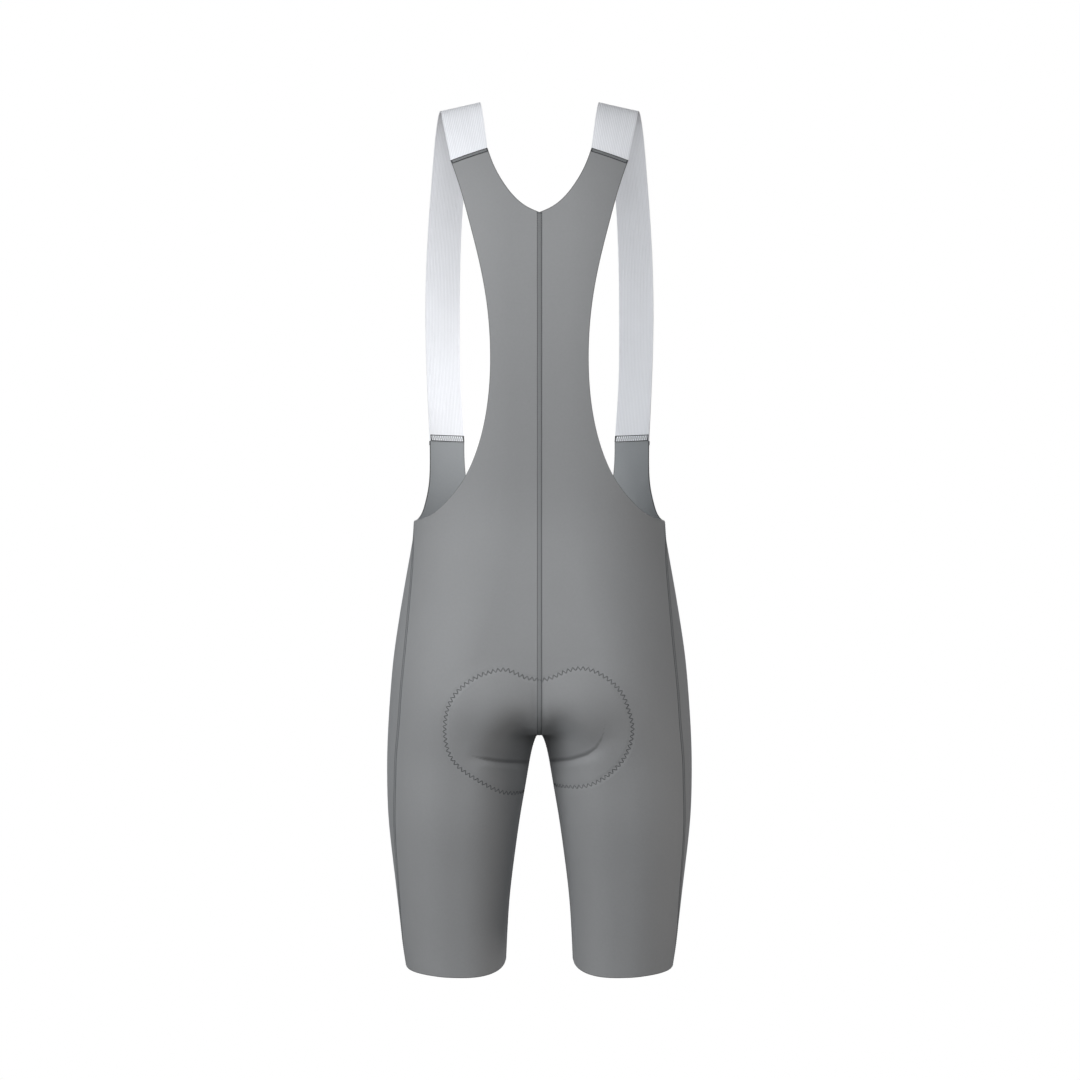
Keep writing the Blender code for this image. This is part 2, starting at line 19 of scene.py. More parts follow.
import bpy
import numpy as np
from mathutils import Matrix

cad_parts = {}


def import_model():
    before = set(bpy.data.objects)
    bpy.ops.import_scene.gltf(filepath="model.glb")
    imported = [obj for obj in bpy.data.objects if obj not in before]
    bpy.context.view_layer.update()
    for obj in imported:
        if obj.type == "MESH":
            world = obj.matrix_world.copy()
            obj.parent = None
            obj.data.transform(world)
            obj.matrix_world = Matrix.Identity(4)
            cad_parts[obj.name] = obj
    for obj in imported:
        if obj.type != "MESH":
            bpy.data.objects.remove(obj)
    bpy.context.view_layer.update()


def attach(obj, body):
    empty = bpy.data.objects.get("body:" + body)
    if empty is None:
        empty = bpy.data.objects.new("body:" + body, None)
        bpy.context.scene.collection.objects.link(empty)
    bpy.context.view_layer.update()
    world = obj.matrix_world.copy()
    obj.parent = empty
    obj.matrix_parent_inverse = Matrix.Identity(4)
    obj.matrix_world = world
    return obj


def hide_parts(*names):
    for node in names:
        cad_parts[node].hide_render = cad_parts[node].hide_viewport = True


Array = np.ndarray
Piece = bpy.types.Object
Material = bpy.types.Material
Socket = bpy.types.NodeSocket

LOG = logging.getLogger("bib_shorts")
BODY = "root"
MM = 0.001
QUARTER = math.pi / 2  # of a turn
TARGET = (0.0006, 0, -0.472)  # what the camera looks at, in metres
HEM_Z = -933.5  # at the inner leg seam
SIDE_DROP = 5.0  # how much lower the hem is at the side seam
FRONT_NECK_Z = -478.0
UNMARKED = 9.0  # the knit's marks far from any edge, sewn line or crease
END_ROWS = 9  # that the strips at the ends of panels and braces are read from


class Half(Enum):
    """A half of the garment."""

    @property
    def word(self) -> str:
        """Its word in the names of pieces and nodes."""
        return self.name.lower()


class Face(Half):
    """Back or front, with the sign of Y there."""

    BACK = -1
    FRONT = 1


class Side(Half):
    """The wearer's side, with the sign of X there."""

    LEFT = -1
    RIGHT = 1


class Slot(Enum):
    """Names of the material slots."""

    KNIT = "grey_knit"
    ELASTIC = "white_elastic"
    FLEECE = "pad_fleece"
    THREAD = "grey_thread"


# ---------------------------------------------------------------- the garment's tables
class Level(NamedTuple):
    """The figure at one height. The seam's angle is in degrees from straight back."""

    z: float
    out: float
    axis: float
    back: float
    front: float
    seam: float
    spread: float


class Edge(NamedTuple):
    """A point of a panel's edge or of a sewn line: distance from the middle, and height."""

    x: float
    z: float


class Crease(NamedTuple):
    """A point of a crease: distance from the middle, height, depth, and how wide its lower slope is."""

    x: float
    z: float
    depth: float
    lower: float


def listed(kind: type, *values: tuple) -> list:
    """A table whose rows are all of one kind."""
    return [kind(*row) for row in values]


LEVELS = listed(Level,
    (-945, 144.8, 90.6, 62, 62, 86, 4.2),
    (-902, 151.3, 93.5, 65.5, 65, 75, 5.2),
    (-862, 156, 94.4, 71.5, 69, 67.5, 5.4),
    (-817, 161.3, 94.2, 80, 75, 62.5, 3.8),
    (-772, 165.7, 93, 90.5, 82, 58.5, 1.8),
    (-732, 167, 90, 96.5, 87.5, 56, 0),
    (-702, 166.8, 86, 102, 91, 55.5, 0),
    (-672, 165.5, 81, 111, 95, 54, 0),
    (-642, 163.5, 75, 118.5, 99, 54.5, 0),
    (-602, 160, 64, 120, 103, 56, 0),
    (-562, 154.5, 53, 114, 106, 59.5, 0),
    (-522, 148, 42, 104, 107.5, 65, 0),
    (-482, 141, 33, 94, 107, 74, 0),
    (-451, 137.5, 28, 90, 106, 86, 0),
    (-412, 143, 27, 91, 105, 88, 0),
    (-362, 152, 28, 97, 107, 88, 0),
    (-282, 159, 30, 108, 112, 88, 0),
    (-200, 163, 30, 112, 111, 88, 0),
    (-133, 163, 30, 106, 103, 88, 0),
    (-100, 161, 30, 98, 95, 88, 0),
    (-70, 156, 30, 86, 84, 88, 0),
    (-40, 146, 30, 68, 70, 88, 0),
    (-10, 132, 28, 48, 50, 88, 0),
)

BACK_ARMHOLE = listed(Edge,  # from the waist corner up to the brace
    (137.4, -451), (119, -446.5), (98, -431), (79.5, -408), (68.5, -386),
    (58.5, -354), (52.5, -316), (51, -278), (54, -232), (62.5, -184),
    (74, -138), (83, -105), (93.5, -73),
)
BACK_NECK = listed(Edge,  # from the middle up to the brace
    (0, -133), (12, -127.5), (25, -117), (37, -101), (47, -82), (54.5, -60.5),
)
FRONT_ARMHOLE = listed(Edge,  # from the waist corner up to the brace
    (137.4, -451), (134, -446), (129.5, -432), (126, -411), (125, -390),
    (125.5, -359),
)
FRONT_STUB = Edge(87.5, -359)  # inner end of the front panel's edge at the brace

BRACE = [  # both edges of the outer face, the outer one first, from the back over the shoulder
    ((98, -63, -50), (57.5, -66, -38.5)),
    ((103.5, -44, -25), (61, -48, -14)),
    ((107, -23, -7.5), (64, -26, 2)),
    ((110, -2, -2), (67, -4, 6.5)),
    ((113.5, 19, -6.5), (71.5, 18, 1.5)),
    ((117.5, 39, -23), (77, 40, -15)),
    ((122, 59, -55), (83.5, 63, -49)),
    ((127, 76, -102), (89, 83, -98)),
    ((130.8, 86, -160), (92, 95, -158)),
    ((131.8, 88, -220), (92.7, 98, -219)),
    ((129.7, 84, -290), (92, 96, -289)),
]

PAD_BACK = {  # the line that the pad is sewn along, from the middle seam round to the inner leg seam
    Side.LEFT: listed(Edge,
        (0, -615.2), (17.9, -611.5), (33.9, -605), (48.7, -606.8), (63.1, -611.8),
        (76.8, -620.6), (89.8, -635.5), (96.4, -654), (97.2, -678.7), (89.6, -700.5),
        (71.4, -716.9), (49.7, -731.2), (37.7, -738.2), (20, -744.8),
    ),
    Side.RIGHT: listed(Edge,
        (0, -616), (10.8, -613.6), (26.3, -606.9), (43, -603.5), (59.7, -607.9),
        (73, -616.8), (84.2, -629.2), (90.9, -645), (95.7, -663.2), (94.7, -679.2),
        (82.8, -704.7), (67.3, -719), (49.6, -728.8), (34.1, -733), (20.7, -736.5),
    ),
}
PAD_FRONT = listed(Edge,
    (0, -598), (22, -601), (40, -612), (53, -634), (61, -662), (63, -690),
    (55, -714), (40, -730), (24, -739),
)
PAD_INSEAM_Z = {Side.LEFT: -746.5, Side.RIGHT: -738.5}

SEAT_CREASES = {
    Side.LEFT: listed(Crease,
        (6, -716.5, 1.5, 4), (12.6, -715, 2.6, 3.6), (26, -709.3, 3.8, 3.2),
        (41, -704.5, 4.2, 3), (51.4, -701.3, 3.6, 3.2), (61.6, -698.5, 2.2, 5),
        (76, -694, 0, 9),
    ),
    Side.RIGHT: listed(Crease,
        (6, -715, 1.5, 4), (12.6, -713.3, 2.4, 3.4), (22, -708.5, 3.4, 3.2),
        (33, -703.8, 3.6, 3.6), (49.8, -694.9, 3, 6), (59, -687, 2.2, 10),
        (65.5, -675, 1.4, 12), (67.5, -662, 0.6, 12), (66, -650, 0, 12),
    ),
}
GROIN_CREASES = {  # on the front, where the thigh folds
    Side.LEFT: listed(Crease,
        (26, -697, 0.8, 8), (48, -676, 2.1, 8), (76, -650, 2.3, 9),
        (104, -622, 1.2, 12), (124, -600, 0, 13),
    ),
    Side.RIGHT: listed(Crease,
        (28, -701, 0.6, 8), (46, -684, 1.9, 7), (70, -661, 2.5, 8),
        (94, -640, 1.6, 11), (118, -611, 0, 13),
    ),
}

# ---------------------------------------------------------------- curves and grids
class Spline:
    """A natural cubic spline through values at rising knots."""

    def __init__(self, knots: Array, values: Array) -> None:
        """Fits the spline.

        Args:
            knots: Where the values are, rising.
            values: The values there.
        """
        self.knots = np.asarray(knots, float)
        self.values = np.asarray(values, float)
        gap = np.diff(self.knots)
        slope = np.diff(self.values) / gap
        system = np.eye(len(self.knots))
        target = np.zeros(len(self.knots))
        for i in range(1, len(gap)):
            system[i, i - 1 : i + 2] = gap[i - 1], 2 * (gap[i - 1] + gap[i]), gap[i]
            target[i] = 6 * (slope[i] - slope[i - 1])
        self.bend = np.linalg.solve(system, target)

    def __call__(self, at: Array) -> Array:
        """Reads the spline.

        Args:
            at: Places along its knots. Beyond its ends it holds its end values.

        Returns:
            Its value at each place.
        """
        at = np.clip(at, self.knots[0], self.knots[-1])
        i = np.clip(np.searchsorted(self.knots, at) - 1, 0, len(self.knots) - 2)
        gap = self.knots[i + 1] - self.knots[i]
        b = (at - self.knots[i]) / gap
        a = 1 - b
        curve = (a**3 - a) * self.bend[i] + (b**3 - b) * self.bend[i + 1]
        return a * self.values[i] + b * self.values[i + 1] + curve * gap**2 / 6


def smoothstep(t: Array) -> Array:
    """0 to 1, level at both ends."""
    t = np.clip(t, 0, 1)
    return t * t * (3 - 2 * t)


def bell(away: Array) -> Array:
    """1 at 0, falling off smoothly on both sides."""
    return np.exp(-(away**2))


def unit(ways: Array) -> Array:
    """The same ways, each of length 1."""
    return ways / np.maximum(np.linalg.norm(ways, axis=-1, keepdims=True), 1e-9)


def run_length(points: Array) -> Array:
    """Distance along a line of points, 0 at the first."""
    return np.concatenate([[0], np.cumsum(np.linalg.norm(np.diff(points, axis=0), axis=1))])


def through(points: Array, count: int) -> Array:
    """A smooth curve through points, cut into equal steps.

    Args:
        points: Points that it passes through.
        count: How many steps.

    Returns:
        The ends of its steps, in order.
    """
    points = np.asarray(points, float)
    at = run_length(points)
    wanted = np.linspace(0, at[-1], count + 1)
    return np.stack([Spline(at, column)(wanted) for column in points.T], axis=-1)


def evenly(points: Array, step: float) -> Array:
    """The same line of points, resampled at about this step."""
    at = run_length(points)
    return sampled(points, at, np.linspace(0, at[-1], max(2, round(at[-1] / step) + 1)))


def sampled(values: Array, at: Array, wanted: Array) -> Array:
    """Rows of values that stand at these places, read at the wanted ones."""
    return np.stack([np.interp(wanted, at, column) for column in values.T], axis=-1)


def sampled_columns(grid: Array, values: Array, wanted: Array) -> Array:
    """Values of a grid's points, read at distances along its columns: by column and distance."""
    pairs = zip(grid.swapaxes(0, 1), values.swapaxes(0, 1))
    return np.stack([sampled(value, run_length(line), wanted) for line, value in pairs])


def zigzag(count: int, steps: int) -> Array:
    """count + 1 values that go from -1 to 1 in this many steps, and back."""
    return np.interp(np.arange(count + 1) % (2 * steps), [0, steps, 2 * steps], [-1, 1, -1])


def to_line(x: Array, z: Array, line: Array) -> tuple[Array, Array]:
    """Distances to a line of straight stretches.

    Args:
        x: Distances from the middle.
        z: Heights.
        line: Its points as rows of x, z and any further values.

    Returns:
        The distance to the line, and the row's values at the nearest place on it.
    """
    line = np.asarray(line, float)
    nearest = np.full(x.shape, np.inf)
    values = np.zeros((*x.shape, line.shape[1]))
    for start, end in zip(line, line[1:]):
        along = (end - start)[:2]
        t = np.clip(((x - start[0]) * along[0] + (z - start[1]) * along[1]) / (along @ along), 0, 1)
        there = start + (end - start) * t[..., None]
        away = np.hypot(x - there[..., 0], z - there[..., 1])
        values = np.where((away < nearest)[..., None], there, values)
        nearest = np.minimum(away, nearest)
    return nearest, values


def seam_at(share: float, heights: Array) -> Array:
    """A seam at one share of the way round the figure, as shares and heights."""
    return np.stack([np.full(len(heights), share), heights], axis=-1)


def mixed(grid: Array, row: Array, column: Array) -> Array:
    """A grid's values at places between its rows and columns.

    Args:
        grid: Values by row and column.
        row: Places along it, counted in rows.
        column: Places across it, counted in columns.

    Returns:
        The values there.
    """
    i = np.clip(row.astype(int), 0, len(grid) - 2)
    j = np.clip(column.astype(int), 0, grid.shape[1] - 2)
    a, b = (row - i)[..., None], (column - j)[..., None]
    near = grid[i, j] * (1 - b) + grid[i, j + 1] * b
    far = grid[i + 1, j] * (1 - b) + grid[i + 1, j + 1] * b
    return near * (1 - a) + far * a


def grid_runs(points: Array) -> list[Array]:
    """Distances across a grid of points and along it, 0 at its first column and row."""
    steps = [np.diff(points, axis=axis, prepend=points.take([0], axis)) for axis in (1, 0)]
    return [np.linalg.norm(step, axis=2).cumsum(axis=axis) for axis, step in zip((1, 0), steps)]


# ---------------------------------------------------------------- the figure
@dataclass
class Figure:
    """The general figure that fills the garment. Both halves are alike, but for small creases."""

    crotch_z: float = -684
    back_rise: float = 64  # the height over which the back closes from its full depth to the crotch
    front_rise: float = 90
    keel: float = 0.0015
    saddle: float = 0.026
    saddle_power: float = 3.5
    saddle_start: float = 0.05
    leg_power: float = 1.35
    arch: float = 4.3
    rounding: float = 120
    bulge: tuple[float, float, float, float, float] = (47, -643, 56, 52, 7)  # x, z, reach x, reach z, height
    bulge_power: float = 2.2
    crease_width: float = 12  # of the upper slope
    relief_start: tuple[float, float] = (10, 30)  # from the middle, and from the side
    # the painted shade in the creases behind: how it fades with depth and distance
    fold_depth: float = 3  # creases that are shallower get less painted shade
    fold_fade: float = 1.2
    fold_reach: float = 50.0
    arc_steps: int = 90
    arc_growth: float = 0.7  # how much longer the inner arc is in the legs than its reach to the side
    chart_rows: int = 468
    chart_columns: int = 97
    chart_slope: float = 3  # the steepest way in that the knit's rows follow

    def __post_init__(self) -> None:
        """Fits a spline through each column of the levels."""
        table = np.array(LEVELS, float).T
        self.columns = {name: Spline(table[0], column) for name, column in zip(Level._fields[1:], table[1:])}

    def at(self, column: str, z: Array) -> Array:
        """A column of the levels at these heights."""
        return self.columns[column](z)

    def depth(self, face: Face, z: Array) -> Array:
        """The full depth of a face, below 0 behind, by height as a column."""
        return face.value * self.at(face.word, z)[:, None]

    def leg_gap(self, z: Array) -> Array:
        """Half of the gap between the legs, 0 above the crotch."""
        below = np.maximum(self.crotch_z - z, 0)
        return np.where(below > 0, np.sqrt(self.arch * below) + self.at("spread", z), 0)

    def rise(self, face: Face) -> float:
        """The height over which a face closes from its full depth to the crotch."""
        return self.front_rise if face is Face.FRONT else self.back_rise

    def drawn_in(self, q: Array, z: Array, rise: Array) -> Array:
        """How far the skin has turned in between the middle and the axis.

        Args:
            q: Shares of the way from the middle to the axis.
            z: Heights.
            rise: The height over which the face closes to the crotch.

        Returns:
            0 where the skin is at its full depth, and 1 where it has turned in all the way.
        """
        gap = self.leg_gap(z) / self.at("axis", z)
        above = np.clip((z - self.crotch_z) / rise, 0, 1)
        closing = 1 - self.keel * rise * above * (1 - above) ** 2 - smoothstep(above)
        closed = (np.cos(QUARTER * np.clip(q, 0, 1)) / np.cos(QUARTER * gap)) ** 2
        narrow = closed ** (self.saddle_power / (above + self.saddle_start))
        flat = self.saddle * rise * above * (1 - above) ** 2 * narrow
        opened = (np.maximum(1 - q, 0) / (1 - gap)) ** self.leg_power
        legs = smoothstep((self.crotch_z - z) / self.rounding)
        return (1 - legs) * (closing * closed - flat) + legs * opened

    def turned_in(self, face: Face, z: Array) -> Array:
        """1 at and below the crotch, where the inner arc starts off straight ahead, 0 where it is flat."""
        return 1 - smoothstep((z - self.crotch_z) / self.rise(face))

    def inner_arc(self, face: Face, z: Array) -> tuple[Array, Array]:
        """The skin from the middle, or the inner leg seam, out to the axis.

        Args:
            face: Back or front.
            z: Heights.

        Returns:
            x and y by height and step.
        """
        axis = self.at("axis", z)[:, None]
        gap = self.leg_gap(z)[:, None] / axis
        step = np.linspace(0, 1, self.arc_steps)
        turned = self.turned_in(face, z)[:, None]
        q = gap + (1 - gap) * (step**2 * turned + step * (1 - turned))
        drawn = np.minimum(self.drawn_in(q, z[:, None], self.rise(face)), 1)
        return axis * q, self.depth(face, z) * np.sqrt(1 - drawn**2)

    def outer_arc(self, face: Face, z: Array, start: float, end: Array) -> tuple[Array, Array]:
        """The rounded side between two angles.

        Args:
            face: The face whose depth it has.
            z: Heights.
            start: Its first angle in degrees, from straight back or straight ahead.
            end: Its last angle, one for all heights or a column with one for each.

        Returns:
            x and y by height and step.
        """
        angle = np.radians(start + (end - start) * np.linspace(0, 1, self.arc_steps))
        axis, out = self.at("axis", z)[:, None], self.at("out", z)[:, None]
        return axis + (out - axis) * np.sin(angle), self.depth(face, z) * np.cos(angle)

    def section(self, face: Face, z: Array) -> tuple[Array, Array, Array]:
        """Half a level section of one face.

        Args:
            face: Back or front.
            z: Heights.

        Returns:
            x, y and the way run along the section, by height and sample, from the middle or the inner leg
            seam to the side seam. On the inner arc the way is about the distance, but changes evenly from
            height to height.
        """
        seam = self.at("seam", z)[:, None]
        arcs = [self.inner_arc(face, z)]
        if face is Face.BACK:
            arcs.append(self.outer_arc(face, z, 0, seam))
        else:
            arcs += [self.outer_arc(face, z, 0, np.array(90.0)), self.outer_arc(Face.BACK, z, 90, seam)]
        x, y = (np.concatenate([arcs[0][i], *[arc[i][:, 1:] for arc in arcs[1:]]], axis=1) for i in (0, 1))
        steps = np.hypot(np.diff(x), np.diff(y))
        inner = self.at("axis", z) * (1 + self.arc_growth * self.turned_in(face, z))
        steps[:, : self.arc_steps - 1] = inner[:, None] / (self.arc_steps - 1)
        return x, y, np.concatenate([np.zeros((len(z), 1)), np.cumsum(steps, axis=1)], axis=1)

    def place(self, face: Face, laid: Array) -> Array:
        """Points of the skin at shares of the way round it.

        Args:
            face: Back or front.
            laid: Shares of the way from the middle to the side seam, and heights, in a grid of any shape.

        Returns:
            The points, in the same grid.
        """
        share, z = laid.reshape(-1, 2).T
        x, y, run = self.section(face, z)
        wanted = share * run[:, -1]
        row = np.arange(len(z))
        i = np.clip((run < wanted[:, None]).sum(axis=1) - 1, 0, x.shape[1] - 2)
        part = (wanted - run[row, i]) / (run[row, i + 1] - run[row, i])
        spots = [a[row, i] + (a[row, i + 1] - a[row, i]) * part for a in (x, y)]
        return np.stack([*spots, z], axis=-1).reshape(*laid.shape[:-1], 3)

    def laid(self, face: Face, line: Array) -> Array:
        """Turns distances from the middle into shares of the way round the figure.

        Args:
            face: Back or front.
            line: Distances from the middle and heights, one row for each point.

        Returns:
            Shares of the way from the middle to the side seam, and the same heights.
        """
        line = np.array(line, float)
        x, _, run = self.section(face, line[:, 1])
        for point, xs, distance in zip(line, x, run):
            widest = xs.argmax() + 1
            point[0] = np.interp(point[0], xs[:widest], distance[:widest]) / distance[-1]
        return line

    def pad_line(self, face: Face, side: Side, count: int) -> tuple[Array, Array]:
        """The line that the pad is sewn along, on one quarter from the middle to the inner leg seam.

        Args:
            face: Back or front.
            side: The wearer's side.
            count: How many steps it has.

        Returns:
            Its distances from the middle and heights, and its shares and heights.
        """
        table = PAD_BACK[side] if face is Face.BACK else PAD_FRONT
        end_z = PAD_INSEAM_Z[side]
        line = through([*table, Edge(float(self.leg_gap(np.array(end_z))), end_z)], count)
        laid = self.laid(face, line)
        laid[[0, -1], 0] = 0
        return line, laid

    def chart(self, face: Face, laid: Array) -> Array:
        """Where the knit's columns and rows run over points of the skin.

        Args:
            face: Back or front.
            laid: The points' shares and heights, by row and column.

        Returns:
            How far each point is across the skin from the side seam, and how far up it.
        """
        heights = np.linspace(LEVELS[0].z, LEVELS[-1].z, self.chart_rows)
        shares = np.linspace(0, 1, self.chart_columns)
        points = self.place(face, np.stack(np.meshgrid(shares, heights), axis=-1))
        across = grid_runs(points)[0]
        inwards, up = (np.diff(points[..., axis], axis=0, prepend=points[:1, :, axis]) for axis in (1, 2))
        along = np.hypot(up, np.minimum(abs(inwards), self.chart_slope * up)).cumsum(axis=0)
        row = np.interp(laid[..., 1], heights, np.arange(len(heights)))
        table = np.stack([across - across[:, -1:], along], axis=-1)
        return mixed(table, row, laid[..., 0] * (self.chart_columns - 1))

    def outside(self, p: Array) -> Array:
        """Tells which points are outside the figure.

        Args:
            p: Points.

        Returns:
            Below 0 inside the figure, 0 on its skin and above 0 outside.
        """
        x, y, z = abs(p[..., 0]), p[..., 1], p[..., 2]
        depth = np.where(y > 0, self.at("front", z), self.at("back", z))
        rise = np.where(y > 0, self.front_rise, self.back_rise)
        axis = self.at("axis", z)
        flank = (x - axis) / (self.at("out", z) - axis)
        across = np.where(x < axis, self.drawn_in(x / axis, z, rise), flank)
        return (y / depth) ** 2 + across**2 - 1

    def slope(self, p: Array) -> Array:
        """How fast outside() grows.

        Args:
            p: Points.

        Returns:
            Its growth along each axis at each point, per millimetre.
        """
        step = 0.2
        grown = [self.outside(p + step * axis) - self.outside(p - step * axis) for axis in np.eye(3)]
        return np.stack(grown, axis=-1) / (2 * step)

    def normals(self, p: Array) -> Array:
        """The way out of the figure at each point of its skin."""
        return unit(self.slope(p))

    def settled(self, p: Array) -> Array:
        """Moves points onto the skin in a few short moves.

        Args:
            p: Points near the skin.

        Returns:
            The moved points.
        """
        for _ in range(4):
            slope = self.slope(p)
            move = -self.outside(p) / np.maximum((slope**2).sum(axis=-1), 1e-8)
            p = p + np.clip(move[..., None] * slope, -2, 2)
        return p

    def relief(self, p: Array) -> Array:
        """How far the cloth stands out of the figure over the seat pad, or sinks into a crease.

        Args:
            p: Points of the skin.

        Returns:
            The distance at each, below 0 in a crease.
        """
        x, z = abs(p[..., 0]), p[..., 2]
        behind, ahead = (smoothstep(face.value * p[..., 1] / self.relief_start[1]) for face in Face)
        middle_x, middle_z, reach_x, reach_z, height = self.bulge
        within = 1 - ((x - middle_x) / reach_x) ** 2 - ((z - middle_z) / reach_z) ** 2
        raised = height * np.maximum(within, 0) ** self.bulge_power
        folded = np.zeros(x.shape)
        for side in Side:
            here = p[..., 0] * side.value >= 0
            for table, weight in ((SEAT_CREASES, behind), (GROIN_CREASES, ahead)):
                away, values = to_line(x, z, table[side])
                width = np.where(z > values[..., 1], self.crease_width, values[..., 3])
                folded += here * weight * values[..., 2] * bell(away / width)
        return (raised * behind - folded) * smoothstep(x / self.relief_start[0])

    def fold(self, p: Array) -> Array:
        """How far points are from the bottom of a crease behind, which sets the painted shade there.

        Args:
            p: Points.

        Returns:
            The distance for each, counted as more under the crease and where the crease is shallow.
        """
        x, z = abs(p[..., 0]), p[..., 2]
        away = np.full(x.shape, self.fold_reach)
        for side in Side:
            distance, values = to_line(x, z, SEAT_CREASES[side])
            here = (p[..., 0] * side.value >= 0) & (p[..., 1] < 0)
            distance = np.where(z > values[..., 1], distance, 2 * distance)
            shallow = np.maximum(self.fold_depth - values[..., 2], 0)
            away = np.where(here, distance + self.fold_fade * shallow, away)
        return away

    def cloth(self, skin: Array) -> Array:
        """Points of the skin, moved to the cloth's outer face."""
        return skin + self.normals(skin) * self.relief(skin)[..., None]

    def strip(self, line: Array, offsets: Array) -> "Patch":
        """A strip of the cloth along a line on the skin.

        Args:
            line: Points of the skin.
            offsets: Distances to the right of the line, rising.

        Returns:
            The strip, with a row for each point of the line and a column for each offset.
        """
        aside = unit(np.cross(unit(np.gradient(line, axis=0)), self.normals(line)))
        skin = self.settled(line[:, None] + aside[:, None] * offsets[None, :, None])
        return Patch(self.cloth(skin), self.normals(skin), offsets)


@dataclass
class Patch:
    """A strip of a surface: points and the way out at each, rows along it and columns across."""

    points: Array
    ways: Array
    offsets: Array

    def __post_init__(self) -> None:
        """Measures the strip along its middle."""
        self.middle = self.points[:, self.points.shape[1] // 2]
        self.runs = run_length(self.middle)
        self.length = self.runs[-1]

    def at(self, along: Array, across: Array, lift: Array) -> Array:
        """Points on the strip.

        Args:
            along: Distances along it.
            across: Distances across it, as its offsets count them.
            lift: Heights over it.

        Returns:
            A point for each.
        """
        along, across, lift = np.broadcast_arrays(*(np.asarray(a, float) for a in (along, across, lift)))
        row = np.interp(along, self.runs, np.arange(len(self.runs)))
        column = np.interp(across, self.offsets, np.arange(len(self.offsets)))
        return mixed(self.points, row, column) + unit(mixed(self.ways, row, column)) * lift[..., None]

    def crossed(self, pitch: float, steps: int, inset: float) -> tuple[Array, Array]:
        """A zigzag of this pitch and steps to a tooth: distances along the strip, and -1 to 1 across it."""
        count = steps * int(self.length // pitch)
        return np.linspace(inset, self.length - inset, count + 1), zigzag(count, steps)


# ---------------------------------------------------------------- meshes
def select_only(piece: Piece | None = None) -> None:
    """Deselects everything, then selects a piece and makes it the active one.

    Args:
        piece: The piece, or None to leave nothing selected or active.
    """
    bpy.ops.object.select_all(action="DESELECT")
    if piece:
        piece.select_set(True)
    bpy.context.view_layer.objects.active = piece


def declared(piece: Piece, slot: Slot, *nodes: str) -> Piece:
    """Declares how a finished piece rides, and reports it.

    Args:
        piece: The piece. It rides on the garment's body.
        slot: Its slot; not used.
        *nodes: The nodes that it stands in for, if any.

    Returns:
        The same piece.
    """
    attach(piece, BODY)
    if nodes:
        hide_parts(*nodes)
    LOG.info("%s: %d faces", piece.name, len(piece.data.polygons))
    return piece


def grid_piece(name: str, points: Array, marks: dict[str, Array],
               chart: Array | None = None) -> Piece:
    """A grid primitive laid on rows and columns of points.

    Args:
        name: The piece's name.
        points: Its points in millimetres, by row and column, seen from outside with columns rising to the
            right of the way that rows rise.
        marks: Values by row and column that its materials read, as attributes of the same names.
        chart: Its UV map in millimetres, by row and column, if not simply the distances along both.

    Returns:
        The piece, at the origin.
    """
    rows, columns = points.shape[:2]
    select_only()
    bpy.ops.mesh.primitive_grid_add(x_subdivisions=columns - 1, y_subdivisions=rows - 1, size=2)
    piece = bpy.context.active_object
    piece.name = piece.data.name = name
    mesh = piece.data
    flat = np.empty(len(mesh.vertices) * 3, np.float32)
    mesh.vertices.foreach_get("co", flat)
    sizes = enumerate((columns, rows))
    column, row = (np.rint((flat[axis::3] + 1) / 2 * (size - 1)).astype(int) for axis, size in sizes)
    mesh.vertices.foreach_set("co", (points[row, column] * MM).astype(np.float32).ravel())
    if chart is None:
        chart = np.stack(grid_runs(points), axis=-1)
    corner = np.empty(len(mesh.loops), np.int32)
    mesh.loops.foreach_get("vertex_index", corner)
    mesh.uv_layers[0].data.foreach_set("uv", chart[row, column][corner].astype(np.float32).ravel())
    for mark, values in marks.items():
        made = mesh.attributes.new(mark, "FLOAT", "POINT")
        made.data.foreach_set("value", values[row, column].astype(np.float32))
    mesh.update()
    return piece


def unmarked(points: Array) -> dict[str, Array]:
    """The knit's marks for a grid that is far from any edge, sewn line or crease."""
    return {mark: np.full(points.shape[:2], UNMARKED) for mark in ("edge", "sewn", "fold")}


def finish_shell(piece: Piece, thickness: float, *finishes: Material) -> Piece:
    """Gives a sheet its thickness inwards and its finishes, and shades it.

    Args:
        piece: The sheet.
        thickness: In millimetres.
        *finishes: Its material, or those of its face, its inside and its cut edge.

    Returns:
        The piece.
    """
    for finish in finishes:
        piece.data.materials.append(finish)
    wall = piece.modifiers.new("wall", "SOLIDIFY")
    wall.thickness = thickness * MM
    wall.offset = -1
    wall.use_quality_normals = True
    if len(finishes) > 1:
        wall.material_offset = 1
        wall.material_offset_rim = 2
    select_only(piece)
    bpy.ops.object.modifier_apply(modifier=wall.name)
    bpy.ops.object.shade_smooth_by_angle(angle=math.radians(50))
    return piece


def thread_piece(name: str, strands: list[Array], radius: float, finish: Material,
                 sides: int = 6) -> Piece:
    """Threads as round strands along lines of points.

    Args:
        name: The piece's name.
        strands: The points of each strand, in millimetres.
        radius: Half of the thread's thickness, in millimetres.
        finish: Its material.
        sides: How many sides a strand has, an even number from 4.

    Returns:
        One mesh with all the strands, declared.
    """
    curve = bpy.data.curves.new(name, "CURVE")
    curve.dimensions = "3D"
    curve.bevel_depth = radius * MM
    curve.bevel_resolution = (sides - 4) // 2
    curve.use_fill_caps = True
    for strand in strands:
        spline = curve.splines.new("POLY")
        spline.points.add(len(strand) - 1)
        spots = np.concatenate([strand * MM, np.ones((len(strand), 1))], axis=1)
        spline.points.foreach_set("co", spots.astype(np.float32).ravel())
    curve.materials.append(finish)
    piece = bpy.data.objects.new(name, curve)
    bpy.context.scene.collection.objects.link(piece)
    select_only(piece)
    bpy.ops.object.convert(target="MESH")
    piece = bpy.context.active_object
    piece.name = piece.data.name = name
    bpy.ops.object.shade_smooth()
    return declared(piece, Slot.THREAD)


